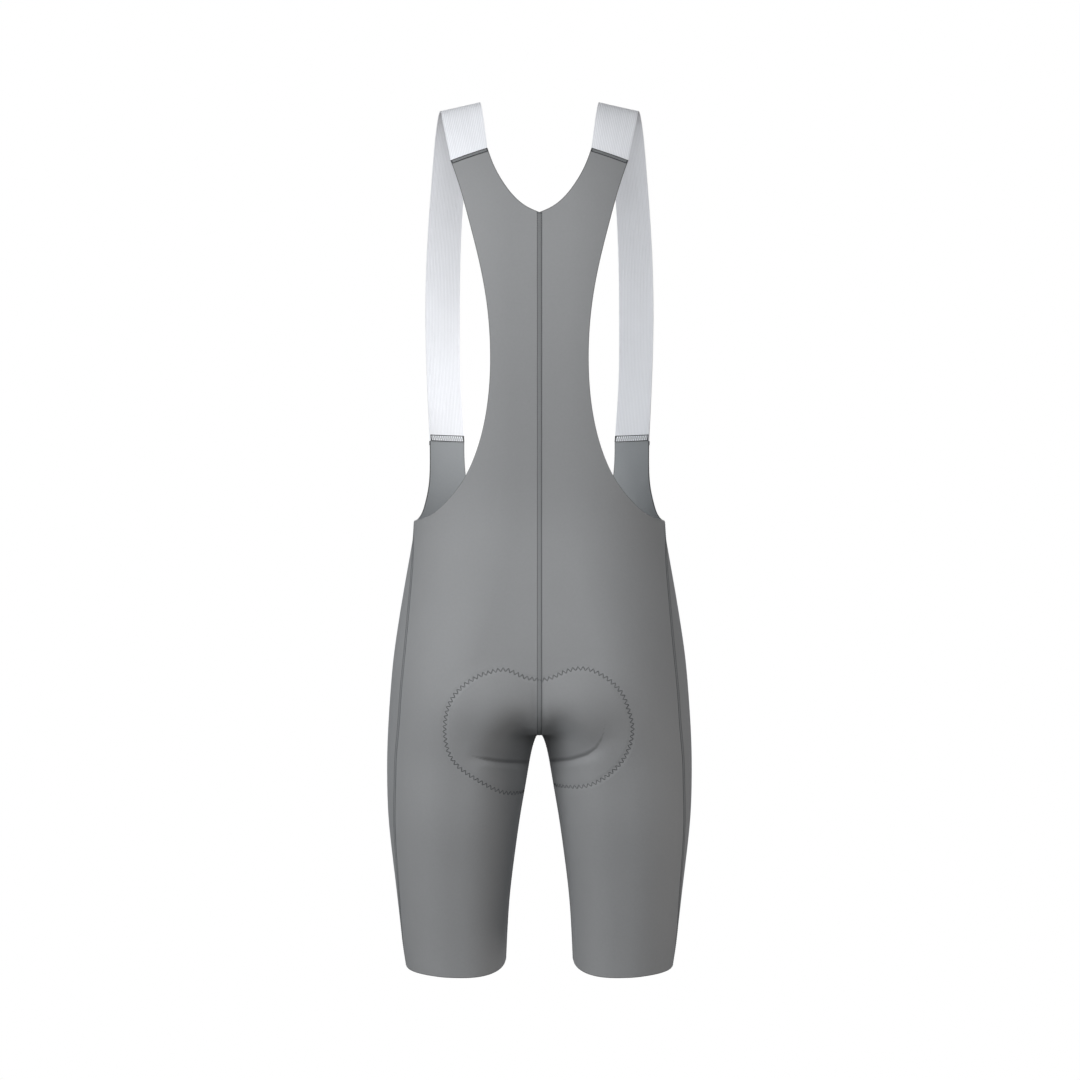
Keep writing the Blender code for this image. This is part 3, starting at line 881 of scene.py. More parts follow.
# ---------------------------------------------------------------- finishes
class Graph:
    """A node tree that is being wired."""

    def __init__(self, tree: bpy.types.NodeTree) -> None:
        """Starts wiring this tree."""
        self.tree = tree

    @cached_property
    def place(self) -> bpy.types.Node:
        """The piece's own coordinates."""
        return self.node("ShaderNodeTexCoord")

    def node(self, kind: str, **settings: object) -> bpy.types.Node:
        """Adds a node.

        Args:
            kind: Its type, such as ShaderNodeMath.
            **settings: Its properties.

        Returns:
            The node.
        """
        made = self.tree.nodes.new(kind)
        for setting, value in settings.items():
            setattr(made, setting, value)
        return made

    def feed(self, socket: Socket, source: object) -> None:
        """Links a socket to its source, or sets it.

        Args:
            socket: The socket.
            source: Another node's output, or a number, vector or colour.
        """
        if isinstance(source, Socket):
            self.tree.links.new(source, socket)
        else:
            socket.default_value = source

    def settle(self, node: bpy.types.Node, **inputs: object) -> None:
        """Feeds a node's inputs by name, their spaces as underscores."""
        for name, source in inputs.items():
            self.feed(node.inputs[name.replace("_", " ")], source)

    def fed(self, made: bpy.types.Node, *sources: object) -> Socket:
        """Feeds a node's first inputs.

        Args:
            made: The node.
            *sources: What they are fed from, in their order.

        Returns:
            The node's first output.
        """
        for socket, source in zip(made.inputs, sources):
            self.feed(socket, source)
        return made.outputs[0]

    def math(self, operation: str, *values: object) -> Socket:
        """A Math node's result for these numbers or sockets."""
        return self.fed(self.node("ShaderNodeMath", operation=operation), *values)

    def product(self, shade: Socket, *others: Socket) -> Socket:
        """Multiplies shades.

        Args:
            shade: The first.
            *others: The others.

        Returns:
            Their product.
        """
        for other in others:
            shade = self.math("MULTIPLY", shade, other)
        return shade

    def ramped(self, value: Socket, *ranges: float) -> Socket:
        """A value's smooth change from one range to another, held at both ends."""
        return self.fed(self.node("ShaderNodeMapRange", interpolation_type="SMOOTHSTEP"), value, *ranges)

    def mark(self, name: str) -> Socket:
        """One of the piece's own attributes."""
        return self.node("ShaderNodeAttribute", attribute_name=name).outputs["Fac"]

    def grouped(self, group: str, *sources: object) -> Socket:
        """What a shader group puts out for these sources."""
        return self.fed(self.node("ShaderNodeGroup", node_tree=bpy.data.node_groups[group]), *sources)

    def mottle(self, size: float, amount: float) -> Socket:
        """Uneven shade of up to amount round 1, in spots about size metres wide."""
        return self.grouped("mottle", self.place.outputs["Object"], size, amount)

    def loops(self, wale: float, course: float) -> Socket:
        """Knitted loops of this width and height in millimetres."""
        return self.grouped("knit_loops", self.place.outputs["UV"], wale, course)


def started_group(name: str, sizes: tuple[str, str], result: str) -> tuple[Graph, list, Socket]:
    """Starts a shader group that makes a value from a vector and two sizes.

    Args:
        name: The group's name.
        sizes: The names of the sizes.
        result: The name of the value.

    Returns:
        The group's graph, what it takes, and where its value goes.
    """
    tree = bpy.data.node_groups.new(name, "ShaderNodeTree")
    tree.interface.new_socket("Vector", in_out="INPUT", socket_type="NodeSocketVector")
    for size in sizes:
        tree.interface.new_socket(size, in_out="INPUT", socket_type="NodeSocketFloat")
    tree.interface.new_socket(result, in_out="OUTPUT", socket_type="NodeSocketFloat")
    graph = Graph(tree)
    taken = list(graph.node("NodeGroupInput").outputs)[:3]
    return graph, taken, graph.node("NodeGroupOutput").inputs[0]


def build_mottle() -> None:
    """Soft uneven shade: a factor that strays from 1 by up to Amount, in spots about Size metres wide."""
    graph, (vector, size, amount), shade = started_group("mottle", ("Size", "Amount"), "Shade")
    noise = graph.node("ShaderNodeTexNoise")
    graph.settle(noise, Detail=3, Vector=vector, Scale=graph.math("DIVIDE", 1.0, size))
    strayed = graph.math("MULTIPLY", graph.math("SUBTRACT", noise.outputs["Fac"], 0.5), 2.0)
    graph.feed(shade, graph.math("MULTIPLY_ADD", strayed, amount, 1.0))


def build_loops() -> None:
    """Knitted loops: a height from 0 to 1, with ribs of loops Wale wide and rows of them Course high."""
    graph, (vector, wale, course), height = started_group("knit_loops", ("Wale", "Course"), "Height")
    parts = graph.node("ShaderNodeSeparateXYZ")
    graph.settle(parts, Vector=vector)
    across, along = (
        graph.math("MULTIPLY", graph.math("DIVIDE", parts.outputs[axis], size), 2 * math.pi)
        for axis, size in (("X", wale), ("Y", course))
    )
    rib = graph.math("MULTIPLY_ADD", graph.math("COSINE", across), 0.5, 0.5)
    lean = graph.math("MULTIPLY", graph.math("COSINE", across), 1.2)
    row = graph.math("MULTIPLY_ADD", graph.math("COSINE", graph.math("ADD", along, lean)), 0.5, 0.5)
    graph.feed(height, graph.math("MULTIPLY", rib, graph.math("MULTIPLY_ADD", row, 0.6, 0.4)))


@dataclass(frozen=True)
class Finish:
    """A cloth finish, with the light that its short fibres catch as its sheen.

    Its mottles are the size of their spots in metres, and how much of the shade they change.
    """

    name: str
    colour: tuple[float, float, float]
    roughness: float = 0.6
    sheen: float = 0.15
    sheen_roughness: float = 0.4
    sheen_tint: tuple[float, float, float] = (0.95, 0.97, 1.0)

    def made(self) -> Material:
        """Makes the material.

        Returns:
            The material.
        """
        finished = bpy.data.materials.new(self.name)
        finished.use_nodes = True
        graph = Graph(finished.node_tree)
        shader = finished.node_tree.nodes["Principled BSDF"]
        graph.settle(shader, Roughness=self.roughness, Specular_IOR_Level=0.25, Sheen_Weight=self.sheen,
                     Sheen_Roughness=self.sheen_roughness, Sheen_Tint=(*self.sheen_tint, 1))
        shade, *bumps = self.worked(graph)
        scaled = graph.node("ShaderNodeVectorMath", operation="SCALE")
        graph.settle(scaled, Vector=self.colour, Scale=shade)
        graph.settle(shader, Base_Color=scaled.outputs[0])
        for height, depth in bumps:
            bump = graph.node("ShaderNodeBump")
            graph.settle(bump, Distance=depth * MM, Height=height)
            for under in shader.inputs["Normal"].links:
                graph.settle(bump, Normal=under.from_socket)
            graph.settle(shader, Normal=bump.outputs["Normal"])
        return finished

    def worked(self, graph: Graph) -> list:
        """The factor of the colour, then each height from 0 to 1 with its millimetres, the lowest first."""
        raise NotImplementedError


@dataclass(frozen=True)
class Knit(Finish):
    """Fine matt stretch knit, darker at raw edges, with painted shade in creases and a little painted
    highlight along the sewn line.
    """

    roughness: float = 0.62
    sheen: float = 0.22
    sheen_roughness: float = 0.45
    sheen_tint: tuple[float, float, float] = (0.86, 0.9, 0.95)
    edge_shade: float = 0.5
    edge_ends: tuple[float, float] = (0.6, 1.0)  # from the raw edge, where its shade fades
    # a painted highlight along the sewn line, where the cloth puckers
    sewn_shade: float = 1.06
    # painted shade in the creases
    fold_shade: float = 0.5
    fold_ends: tuple[float, float] = (0.2, 4.5)
    broad: tuple[float, float] = (0.11, 0.05)
    fine: tuple[float, float] = (0.0025, 0.035)
    pucker: tuple[float, float] = (0.0035, 1.0)
    sewn_ends: tuple[float, float] = (1.8, 3.0)  # from the sewn line, where its painted highlight fades
    pucker_ends: tuple[float, float] = (0.5, 5.0)
    wale: float = 0.62
    course: float = 0.5
    loop_depth: float = 0.035
    pucker_depth: float = 0.35

    def worked(self, graph: Graph) -> list:
        """Works the loops, the puckers along the sewn line, the shade of edges, the painted highlight along
        the line and the painted shade in creases.

        Args:
            graph: The material's graph.

        Returns:
            The factor of the colour, then the heights with their depths.
        """
        sewn = graph.math("ABSOLUTE", graph.mark("sewn"))
        shade = graph.product(
            graph.mottle(*self.broad),
            graph.mottle(*self.fine),
            graph.ramped(graph.mark("edge"), *self.edge_ends, self.edge_shade, 1.0),
            # painted highlight along the sewn line, where the cloth puckers
            graph.ramped(sewn, *self.sewn_ends, self.sewn_shade, 1.0),
            # painted shade in the creases behind
            graph.ramped(graph.mark("fold"), *self.fold_ends, self.fold_shade, 1.0),
        )
        drawn = graph.product(graph.ramped(sewn, *self.pucker_ends, 1.0, 0.0), graph.mottle(*self.pucker))
        loops = graph.loops(self.wale, self.course)
        return [shade, (loops, self.loop_depth), (graph.math("MULTIPLY", drawn, -1.0), self.pucker_depth)]


@dataclass(frozen=True)
class Elastic(Finish):
    """White elastic, knitted in ribs that run along it. Its valleys get a little painted shade."""

    sheen: float = 0.12
    # painted shade in the rib valleys
    valley_shade: float = 0.84
    valley_top: float = 0.7  # the share of a rib's height at which its valley ends
    broad: tuple[float, float] = (0.05, 0.03)
    wale: float = 0.85
    course: float = 0.9
    loop_depth: float = 0.05

    def worked(self, graph: Graph) -> list:
        """Works the loops, and the painted shade of the valleys.

        Args:
            graph: The material's graph.

        Returns:
            The factor of the colour, then the height with its depth.
        """
        # painted shade in the valleys between the ribs
        ribs = graph.ramped(graph.mark("rib"), 0.0, self.valley_top, self.valley_shade, 1.0)
        loops = graph.loops(self.wale, self.course)
        return [graph.product(graph.mottle(*self.broad), ribs), (loops, self.loop_depth)]


@dataclass(frozen=True)
class Thread(Finish):
    """Spun sewing thread, a little uneven in shade."""

    roughness: float = 0.55
    sheen_tint: tuple[float, float, float] = (0.9, 0.95, 1.0)
    fibres: tuple[float, float] = (0.0011, 0.35)
    fibre_depth: float = 0.06

    def worked(self, graph: Graph) -> list:
        """The spun fibres."""
        spun = graph.mottle(*self.fibres)
        return [spun, (spun, self.fibre_depth)]


@dataclass(frozen=True)
class Fleece(Finish):
    """Brushed face of the seat pad, darker in its grooves."""

    roughness: float = 0.85
    sheen: float = 0.45
    sheen_roughness: float = 0.6
    sheen_tint: tuple[float, float, float] = (0.8, 0.85, 0.9)
    broad: tuple[float, float] = (0.03, 0.08)
    nap: tuple[float, float] = (0.0009, 0.4)
    nap_depth: float = 0.2
    groove_shade: float = 0.6

    def worked(self, graph: Graph) -> list:
        """Works the nap, and the shade of the grooves.

        Args:
            graph: The material's graph.

        Returns:
            The factor of the colour, then the height with its depth.
        """
        nap = graph.mottle(*self.nap)
        darker_in_grooves = graph.ramped(graph.mark("groove"), 0.0, 1.0, 1.0, self.groove_shade)
        return [graph.product(graph.mottle(*self.broad), nap, darker_in_grooves), (nap, self.nap_depth)]


class Wardrobe:
    """Every finish of the garment, made once."""

    def __init__(self) -> None:
        """Builds the shader groups and makes the materials."""
        build_mottle()
        build_loops()
        self.knit = Knit("grey_knit_face", (0.279, 0.28, 0.284)).made()
        self.knit_inside = Knit("grey_knit_inside", (0.285, 0.296, 0.306)).made()
        self.cut_edge = Knit("grey_knit_cut_edge", (0.13, 0.131, 0.134)).made()
        self.seam = Knit("grey_seam_band", (0.24, 0.242, 0.247)).made()
        self.elastic = Elastic("white_ribbed_elastic", (0.92, 0.925, 0.96)).made()
        self.thread = Thread("dark_grey_thread", (0.055, 0.058, 0.061)).made()
        self.cover_thread = Thread("grey_cover_thread", (0.2, 0.21, 0.212)).made()
        self.fleece = Fleece("brushed_pad_face", (0.16, 0.17, 0.18)).made()


# ---------------------------------------------------------------- sub-assemblies
class Cut(NamedTuple):
    """Cloth as it is cut, before it is stretched: greatest width and length in metres, and area."""

    width: float
    length: float
    area: float


@dataclass
class Part:
    """A sub-assembly of the garment, laid on the figure and dressed from the wardrobe."""

    figure: Figure
    wardrobe: Wardrobe


@dataclass
class Panel(Part):
    """One of the four knitted panels, from its inner edge to its side seam."""

    face: Face
    side: Side
    cut: Cut
    thickness: float = 1.0
    seam_gap: float = 0.2
    hem_dip: float = 3.5
    corner_start: float = 0.73  # the share of the width at which the hem starts to drop to the side seam
    corner_power: float = 1.5
    scoop_power: float = 2.6
    leg_rows: int = 100
    seat_rows: int = 70
    waist_rows: int = 20
    bib_rows: int = 65
    shoulder_rows: int = 25
    stub_rows: int = 40
    columns: int = 96
    leg_crowding: float = 1.7
    seat_crowding: float = 0.8
    column_crowding: float = 1.1
    front_sag: float = 36

    def __post_init__(self) -> None:
        """Names the panel, and lays its grid of shares and heights."""
        self.name = f"{self.face.word}_{self.side.word}"
        self.waist_row = self.leg_rows + self.seat_rows + self.waist_rows
        self.laid = self.grid()

    def scoop(self) -> Array:
        """The front neckline, from the middle up to the brace.

        Returns:
            Its distances from the middle and heights.
        """
        turn = np.linspace(0, QUARTER, self.stub_rows + 1)
        x = FRONT_STUB.x * np.sin(turn) ** (2 / self.scoop_power)
        z = FRONT_STUB.z + (FRONT_NECK_Z - FRONT_STUB.z) * np.cos(turn) ** (2 / self.scoop_power)
        return through(np.stack([x, z], axis=-1), self.stub_rows)

    def edges(self) -> tuple[Array, Array]:
        """The panel's inner and outer edge, row by row from the hem up.

        Returns:
            Shares and heights of the inner edge, and of the outer one.
        """
        crotch_z = self.figure.crotch_z
        leg = crotch_z + (HEM_Z - crotch_z) * np.linspace(1, 0, self.leg_rows + 1) ** self.leg_crowding
        turn = np.linspace(0, QUARTER, self.seat_rows + 1)
        seat = crotch_z + self.figure.rise(self.face) * (1 - np.cos(turn)) ** self.seat_crowding
        waist_z = BACK_ARMHOLE[0].z
        stretches = [leg, seat[1:]]
        if self.face is Face.BACK:
            stretches.append(np.linspace(seat[-1], waist_z, self.waist_rows + 1)[1:])
            stretches.append(np.linspace(waist_z, BACK_NECK[0].z, self.bib_rows + 1)[1:])
            rows = self.shoulder_rows
            free = through(BACK_NECK, rows), through(BACK_ARMHOLE, self.bib_rows + rows)
        else:
            stretches.append(np.linspace(seat[-1], FRONT_NECK_Z, self.waist_rows + 1)[1:])
            free = self.scoop(), through(FRONT_ARMHOLE, self.stub_rows)
        seams = np.concatenate(stretches), np.linspace(HEM_Z, waist_z, self.waist_row + 1)
        return tuple(
            np.concatenate([seam_at(share, seam), self.figure.laid(self.face, edge[1:])])
            for share, seam, edge in zip((0, 1), seams, free)
        )

    def sag(self, rows: int) -> Array:
        """How far rows sag near their inner edge, so that they meet the front neckline at an angle.

        Args:
            rows: How many rows the panel has.

        Returns:
            The sag of each row.
        """
        if self.face is Face.BACK:
            return np.zeros(rows)
        below = smoothstep((np.arange(rows) - self.leg_rows) / (self.waist_row - self.leg_rows))
        above = 1 - smoothstep((np.arange(rows) - self.waist_row) / (rows - 1 - self.waist_row))
        return self.front_sag * np.minimum(below, above)

    def grid(self) -> Array:
        """Lays rows and columns between both edges, the hem lower halfway between the seams.

        Returns:
            Shares and heights, by row and column.
        """
        inner, outer = self.edges()
        t = np.linspace(0, 1, self.columns + 1) ** self.column_crowding
        laid = inner[:, None] * (1 - t[None, :, None]) + outer[:, None] * t[None, :, None]
        up = 1 - smoothstep(np.arange(len(laid)) / self.leg_rows)
        corner = np.clip((t - self.corner_start) / (1 - self.corner_start), 0, 1) ** self.corner_power
        laid[..., 1] -= up[:, None] * (self.hem_dip * np.sin(math.pi * t) + SIDE_DROP * corner)
        laid[..., 1] -= self.sag(len(laid))[:, None] * 27 / 4 * t * (1 - t) ** 2
        return laid

    def surface(self) -> Array:
        """Lays the panel's outer face on the figure.

        Returns:
            Its points by row and column, from its inner edge to its side.
        """
        points = self.figure.cloth(self.figure.place(self.face, self.laid) * (self.side.value, 1, 1))
        at_seam = self.laid[:, 0, 0] == 0
        half = self.seam_gap / 2
        for axis, way in ((0, self.side.value), (1, self.face.value)):
            points[at_seam, 0, axis] = way * np.maximum(way * points[at_seam, 0, axis], half)
        points[:, -1] += unit(points[:, -2] - points[:, -1]) * half
        return points

    def to_free_edge(self, points: Array) -> Array:
        """How far points are from the nearest raw edge: neckline, armhole or hem.

        Args:
            points: The panel's points, by row and column.

        Returns:
            The distance for each.
        """
        across, distance = grid_runs(points)
        neck = self.waist_row + (self.bib_rows if self.face is Face.BACK else 0)
        for start, away in ((neck, across), (self.waist_row, across[:, -1:] - across)):
            distance[start:] = np.minimum(distance[start:], away[start:])
        return distance

    def to_sewn_line(self, points: Array) -> Array:
        """How far points are from the line that the pad is sewn along.

        Args:
            points: The panel's points, by row and column.

        Returns:
            The distance for each, below 0 outside the line.
        """
        line, _ = self.figure.pad_line(self.face, self.side, 80)
        x, z = abs(points[..., 0]), points[..., 2]
        away, _ = to_line(x, z, line)
        (bearing, far), (line_bearing, line_far) = (
            (np.arctan2(*spot), np.hypot(*spot))
            for spot in ((x, z - self.figure.crotch_z), (line[:, 0], line[:, 1] - self.figure.crotch_z))
        )
        within = far < np.interp(bearing, line_bearing, line_far)
        return np.where(within, away, -away)

    def build(self) -> Piece:
        """Lays the panel on the figure.

        Returns:
            The panel.
        """
        points = self.surface()
        marks = {"edge": self.to_free_edge(points), "sewn": self.to_sewn_line(points)}
        # the fold mark carries painted shade in the creases behind
        marks["fold"] = self.figure.fold(points)
        chart = self.figure.chart(self.face, self.laid)
        if self.side.value == self.face.value:
            points, chart = points[:, ::-1], chart[:, ::-1]
            marks = {mark: values[:, ::-1] for mark, values in marks.items()}
        piece = grid_piece(f"panel_{self.name}", points, marks, chart)
        looks = self.wardrobe
        finish_shell(piece, self.thickness, looks.knit, looks.knit_inside, looks.cut_edge)
        return declared(piece, Slot.KNIT, self.name)

    def end_strip(self, offsets: Array) -> Patch:
        """A strip along the panel's edge at the brace, on its outer face.

        Args:
            offsets: How far its columns are down the panel.

        Returns:
            The strip. It runs outwards, and its offsets rise from 0 at the edge downwards.
        """
        skin = self.figure.place(self.face, self.laid[: -END_ROWS - 1 : -1])
        points = self.figure.settled(sampled_columns(skin, skin, offsets)) * (self.side.value, 1, 1)
        return Patch(points, self.figure.normals(points), offsets)


@dataclass
class Brace(Part):
    """A ribbed elastic brace from the back panel over the shoulder to the front panel."""

    side: Side
    cut: Cut
    thickness: float = 1.3
    seam_gap: float = 0.2
    bow: float = 0.12
    rows: int = 160
    ribs: int = 22
    steps_a_rib: int = 4
    rib_height: float = 0.26
    selvedge: float = 0.03
    selvedge_heights: tuple[float, float] = (0.3, 0.45)  # as shares of a rib's
    weakest_rib: float = 0.65
    seed: int = 41

    def __post_init__(self) -> None:
        """Lays the brace's outer face on the wearer's right, without its ribs."""
        self.outer, self.way = self.surface()

    def corner(self, face: Face, outer: Edge, inner: Edge) -> tuple[Array, Array]:
        """Where a panel ends at the brace.

        Args:
            face: The panel's face.
            outer: The outer corner of its edge.
            inner: The inner one.

        Returns:
            Points from the outer to the inner corner, and the way out at each.
        """
        corners = self.figure.laid(face, [outer, inner])
        across = self.columns()[:, None]
        points = self.figure.place(face, corners[0] * (1 - across) + corners[1] * across)
        return points, self.figure.normals(points)

    def columns(self) -> Array:
        """Shares of the width at which the columns are."""
        ribs = np.linspace(self.selvedge, 1 - self.selvedge, self.ribs * self.steps_a_rib + 1)
        return np.concatenate([[0, self.selvedge / 2], ribs, [1 - self.selvedge / 2, 1]])

    def crests(self) -> Array:
        """How high the ribs are over their valleys.

        Returns:
            The height at each column, from 0 to 1.
        """
        step = np.arange(self.ribs * self.steps_a_rib + 1)
        draws = np.random.default_rng(self.seed + self.side.value)
        strength = draws.uniform(self.weakest_rib, 1, self.ribs + 1)
        wave = 0.5 - 0.5 * np.cos(2 * math.pi * step / self.steps_a_rib)
        wave *= strength[np.minimum(step // self.steps_a_rib, self.ribs)]
        return np.concatenate([self.selvedge_heights, wave, self.selvedge_heights[::-1]])

    def surface(self) -> tuple[Array, Array]:
        """Runs the outer face from the back panel over the shoulder to the front one.

        Returns:
            Its points by row and column, and the way out at each.
        """
        ends = [
            self.corner(Face.BACK, BACK_ARMHOLE[-1], BACK_NECK[-1]),
            self.corner(Face.FRONT, FRONT_ARMHOLE[-1], FRONT_STUB),
        ]
        table = np.array(BRACE)
        outer, inner = (
            through([ends[0][0][corner], *route, ends[1][0][corner]], self.rows)[:, None]
            for corner, route in ((0, table[:, 0]), (-1, table[:, 1]))
        )
        across = self.columns()[None, :, None]
        face = outer * (1 - across) + inner * across
        far = np.linspace(0, 1, self.rows + 1)[:, None, None]
        for end, distance in ((0, far), (-1, 1 - far)):
            face = face + (ends[end][0] - face[end]) * (1 - smoothstep(distance / self.bow))
        run = unit(np.gradient(face, axis=0))
        way = unit(np.cross(run, np.gradient(face, axis=1)))
        for end, inwards in ((0, 1), (-1, -1)):
            way[end] = ends[end][1]
            face[end] += inwards * run[end] * self.seam_gap
        return face, way

    def build(self) -> Piece:
        """Lays the brace over the shoulder.

        Returns:
            The brace.
        """
        crests = np.broadcast_to(self.crests(), self.outer.shape[:2])
        points = self.outer + self.way * (self.rib_height * (crests - 1))[..., None]
        points = points * (self.side.value, 1, 1)
        if self.side is Side.RIGHT:
            points, crests = points[:, ::-1], crests[:, ::-1]
        piece = grid_piece(f"brace_{self.side.word}_elastic", points, {"rib": crests})
        finish_shell(piece, self.thickness, self.wardrobe.elastic)
        return declared(piece, Slot.ELASTIC, f"brace_{self.side.word}")

    def end_strip(self, face: Face, offsets: Array) -> Patch:
        """A strip along one end of the brace, on its inner face.

        Args:
            face: The end's panel.
            offsets: How far its columns are up the brace.

        Returns:
            The strip. It runs outwards, and its offsets rise from 0 at the end upwards. Its way out is
            towards the wearer.
        """
        rows = slice(0, END_ROWS) if face is Face.BACK else slice(None, -END_ROWS - 1, -1)
        way = self.way[rows, ::-1]
        inner = self.outer[rows, ::-1] - way * self.thickness
        turned = (self.side.value, 1, 1)
        return Patch(*(sampled_columns(inner, grid, offsets) * turned for grid in (inner, -way)), offsets)


@dataclass
class SeatPad(Part):
    """The moulded pad inside the seat: thick under each side, thin along the middle and at its edge."""

    back_spokes: int = 60
    front_spokes: int = 44
    rings: int = 34
    margin: float = 3
    sink: float = 2.2
    edge_depth: float = 2.3
    core_depth: float = 9
    channel_depth: float = 5
    channel_half: float = 28
    bevel: float = 0.4
    groove_at: float = 0.58
    groove_width: float = 0.035
    groove_depth: float = 1.3
    groove_start: tuple[float, float] = (8, 14)  # where it sets in beside the middle, and over what width
    rim: tuple[tuple[float, float], ...] = ((0.25, 0.5), (0.5, 0.7), (0.75, 0.5))  # shares inwards, bulges
    crowding: float = 1.9
    widening: float = 0.25  # how early the rings widen, so that they are round at the crotch
    weld: float = 0.0004
    fill: float = 0.5

    def quarter(self, face: Face, side: Side) -> tuple[Array, Array, Array, Array]:
        """One quarter of the pad, as rings round the crotch.

        Args:
            face: Back or front.
            side: The wearer's side.

        Returns:
            Points of its outer face, the way out, its depth and its share of a groove, by ring and spoke.
        """
        spokes = self.back_spokes if face is Face.BACK else self.front_spokes
        _, sewn = self.figure.pad_line(face, side, spokes)
        if face is Face.BACK:
            sewn[0, 1] = sum(lobe[0].z for lobe in PAD_BACK.values()) / 2
        crotch = np.array([0, self.figure.crotch_z])
        length = np.linalg.norm(self.figure.place(face, sewn) - [0, 0, crotch[1]], axis=1)
        far = np.linspace(0, 1, self.rings + 1) ** self.crowding
        reach = np.stack([far**self.widening, far], axis=-1)[:, None] * (1 + self.margin / length)[:, None]
        grid = crotch + (sewn - crotch) * reach
        skin = self.figure.place(face, grid) * (side.value, 1, 1)
        way = self.figure.normals(skin)
        outer = skin + way * (self.figure.relief(skin) - self.sink)[..., None]
        x = abs(skin[..., 0])
        core = self.channel_depth + (self.core_depth - self.channel_depth) * smoothstep(x / self.channel_half)
        rise = smoothstep((1 - far) / self.bevel)[:, None]
        start, width = self.groove_start
        groove = bell((far[:, None] - self.groove_at) / self.groove_width) * rise
        groove = groove * smoothstep((x - start) / width)
        depth = self.edge_depth + (core - self.edge_depth) * rise - self.groove_depth * groove
        return outer, way, depth, groove

    def build(self) -> Piece:
        """Lays the pad inside the panels as one closed piece.

        Returns:
            The pad.
        """
        order = ((Face.BACK, Side.LEFT, 1), (Face.FRONT, Side.LEFT, -1), (Face.FRONT, Side.RIGHT, 1),
                 (Face.BACK, Side.RIGHT, -1))
        quarters = [[grid[:, ::way] for grid in self.quarter(face, side)] for face, side, way in order]
        outer, way, depth, groove = (
            np.concatenate([first, *[other[:, 1:] for other in rest]], axis=1)
            for first, *rest in zip(*quarters)
        )
        inner = outer - way * depth[..., None]
        aside = unit(outer[-1] - outer[-2])
        rim = [outer[-1] + (inner[-1] - outer[-1]) * share + aside * bulge for share, bulge in self.rim]
        points = np.concatenate([outer, np.stack(rim), inner[::-1]])
        plain = np.zeros((len(outer) + len(rim), groove.shape[1]))
        piece = grid_piece("seat_pad_fleece", points, {"groove": np.concatenate([plain, groove[::-1]])})
        select_only(piece)
        bpy.ops.object.mode_set(mode="EDIT")
        bpy.ops.mesh.select_all(action="SELECT")
        bpy.ops.mesh.remove_doubles(threshold=self.weld * MM)
        bpy.ops.mesh.normals_make_consistent(inside=False)
        bpy.ops.object.mode_set(mode="OBJECT")
        piece.data.materials.append(self.wardrobe.fleece)
        bpy.ops.object.shade_smooth()
        return declared(piece, Slot.FLEECE, "seat_pad")


@dataclass
class FlatSeam(Part):
    """A flat seam: a low band over the two butted edges, a row of stitches along each side of it, and cover
    threads that cross between them."""

    name: str
    line: Array
    width: float = 5.8
    height: float = 0.34
    depth: float = 1.65
    edge_start: float = 0.8  # the share of the half width at which the band turns down
    edge_sink: float = 0.08
    row_offset: float = 2.15
    row_dent: float = 0.12
    row_reach: float = 0.35
    pitch: float = 2.6
    stitch: float = 1.9
    thread: float = 0.3
    cover_pitch: float = 1.5
    cover: float = 0.14
    step: float = 1.6
    pinch_at: float = -1.0  # how far along it is narrowest, if anywhere
    pinch: float = 0.5
    pinch_reach: float = 11.0
    dark_run: float = 0.0  # how far it is darker from its start, fading

    def __post_init__(self) -> None:
        """Lays the strip of cloth that it is sewn on."""
        one_side = np.array([0, 0.3, 0.6, 0.85, 0.95, 1]) * self.width / 2
        offsets = np.concatenate([-one_side[:0:-1], one_side])
        self.patch = self.figure.strip(evenly(self.line, self.step), offsets)

    def reach(self, along: Array) -> Array:
        """How wide the seam is at distances along it.

        Args:
            along: The distances.

        Returns:
            The share of its full width at each.
        """
        if self.pinch_at < 0:
            return np.ones(np.shape(along))
        return 1 - self.pinch * bell((along - self.pinch_at) / self.pinch_reach)

    def band(self) -> Piece:
        """Lays the band itself, with its edges just under the cloth.

        Returns:
            The band.
        """
        runs, offsets = self.patch.runs, self.patch.offsets
        turned = smoothstep((abs(offsets) / (self.width / 2) - self.edge_start) / (1 - self.edge_start))
        lift = self.height * (1 - turned) - self.edge_sink * turned
        lift = lift - self.row_dent * bell((abs(offsets) - self.row_offset) / self.row_reach)
        points = self.patch.at(runs[:, None], offsets * self.reach(runs)[:, None], lift[None, :])
        marks = unmarked(points)
        if self.dark_run:
            marks["fold"][:] = np.interp(runs, [0, 1.5, 2.5, self.dark_run], [1, 1, 2.6, 4.5])[:, None]
        piece = grid_piece(f"{self.name}_band", points, marks)
        return declared(finish_shell(piece, self.depth, self.wardrobe.seam), Slot.KNIT)

    def stitches(self) -> Piece:
        """Sews both rows of stitches, each stitch dipping into the band at its ends.

        Returns:
            Their threads, as one piece.
        """
        count = int(self.patch.length // self.pitch)
        starts = (np.arange(count) + 0.5 * (self.patch.length / self.pitch - count)) * self.pitch
        share = np.array([0, 0.12, 0.35, 0.65, 0.88, 1])
        lift = self.height + np.array([-0.45, -0.1, 0.08, 0.08, -0.1, -0.45])
        strands = [
            self.patch.at(along, offset * self.reach(along), lift)
            for offset in (-self.row_offset, self.row_offset)
            for along in starts[:, None] + share * self.stitch
        ]
        return thread_piece(f"{self.name}_stitches", strands, self.thread, self.wardrobe.thread)

    def covers(self) -> Piece:
        """Sews the cover threads, as one line that crosses the band from row to row.

        Returns:
            Their thread.
        """
        along, across = self.patch.crossed(self.cover_pitch, 3, inset=0.4)
        strand = self.patch.at(along, self.row_offset * across * self.reach(along), self.height + 0.02)
        return thread_piece(f"{self.name}_cover_thread", [strand], self.cover, self.wardrobe.cover_thread, 4)

    def build(self) -> list[Piece]:
        """Sews the seam, and gives its pieces."""
        return [self.band(), self.covers(), self.stitches()]


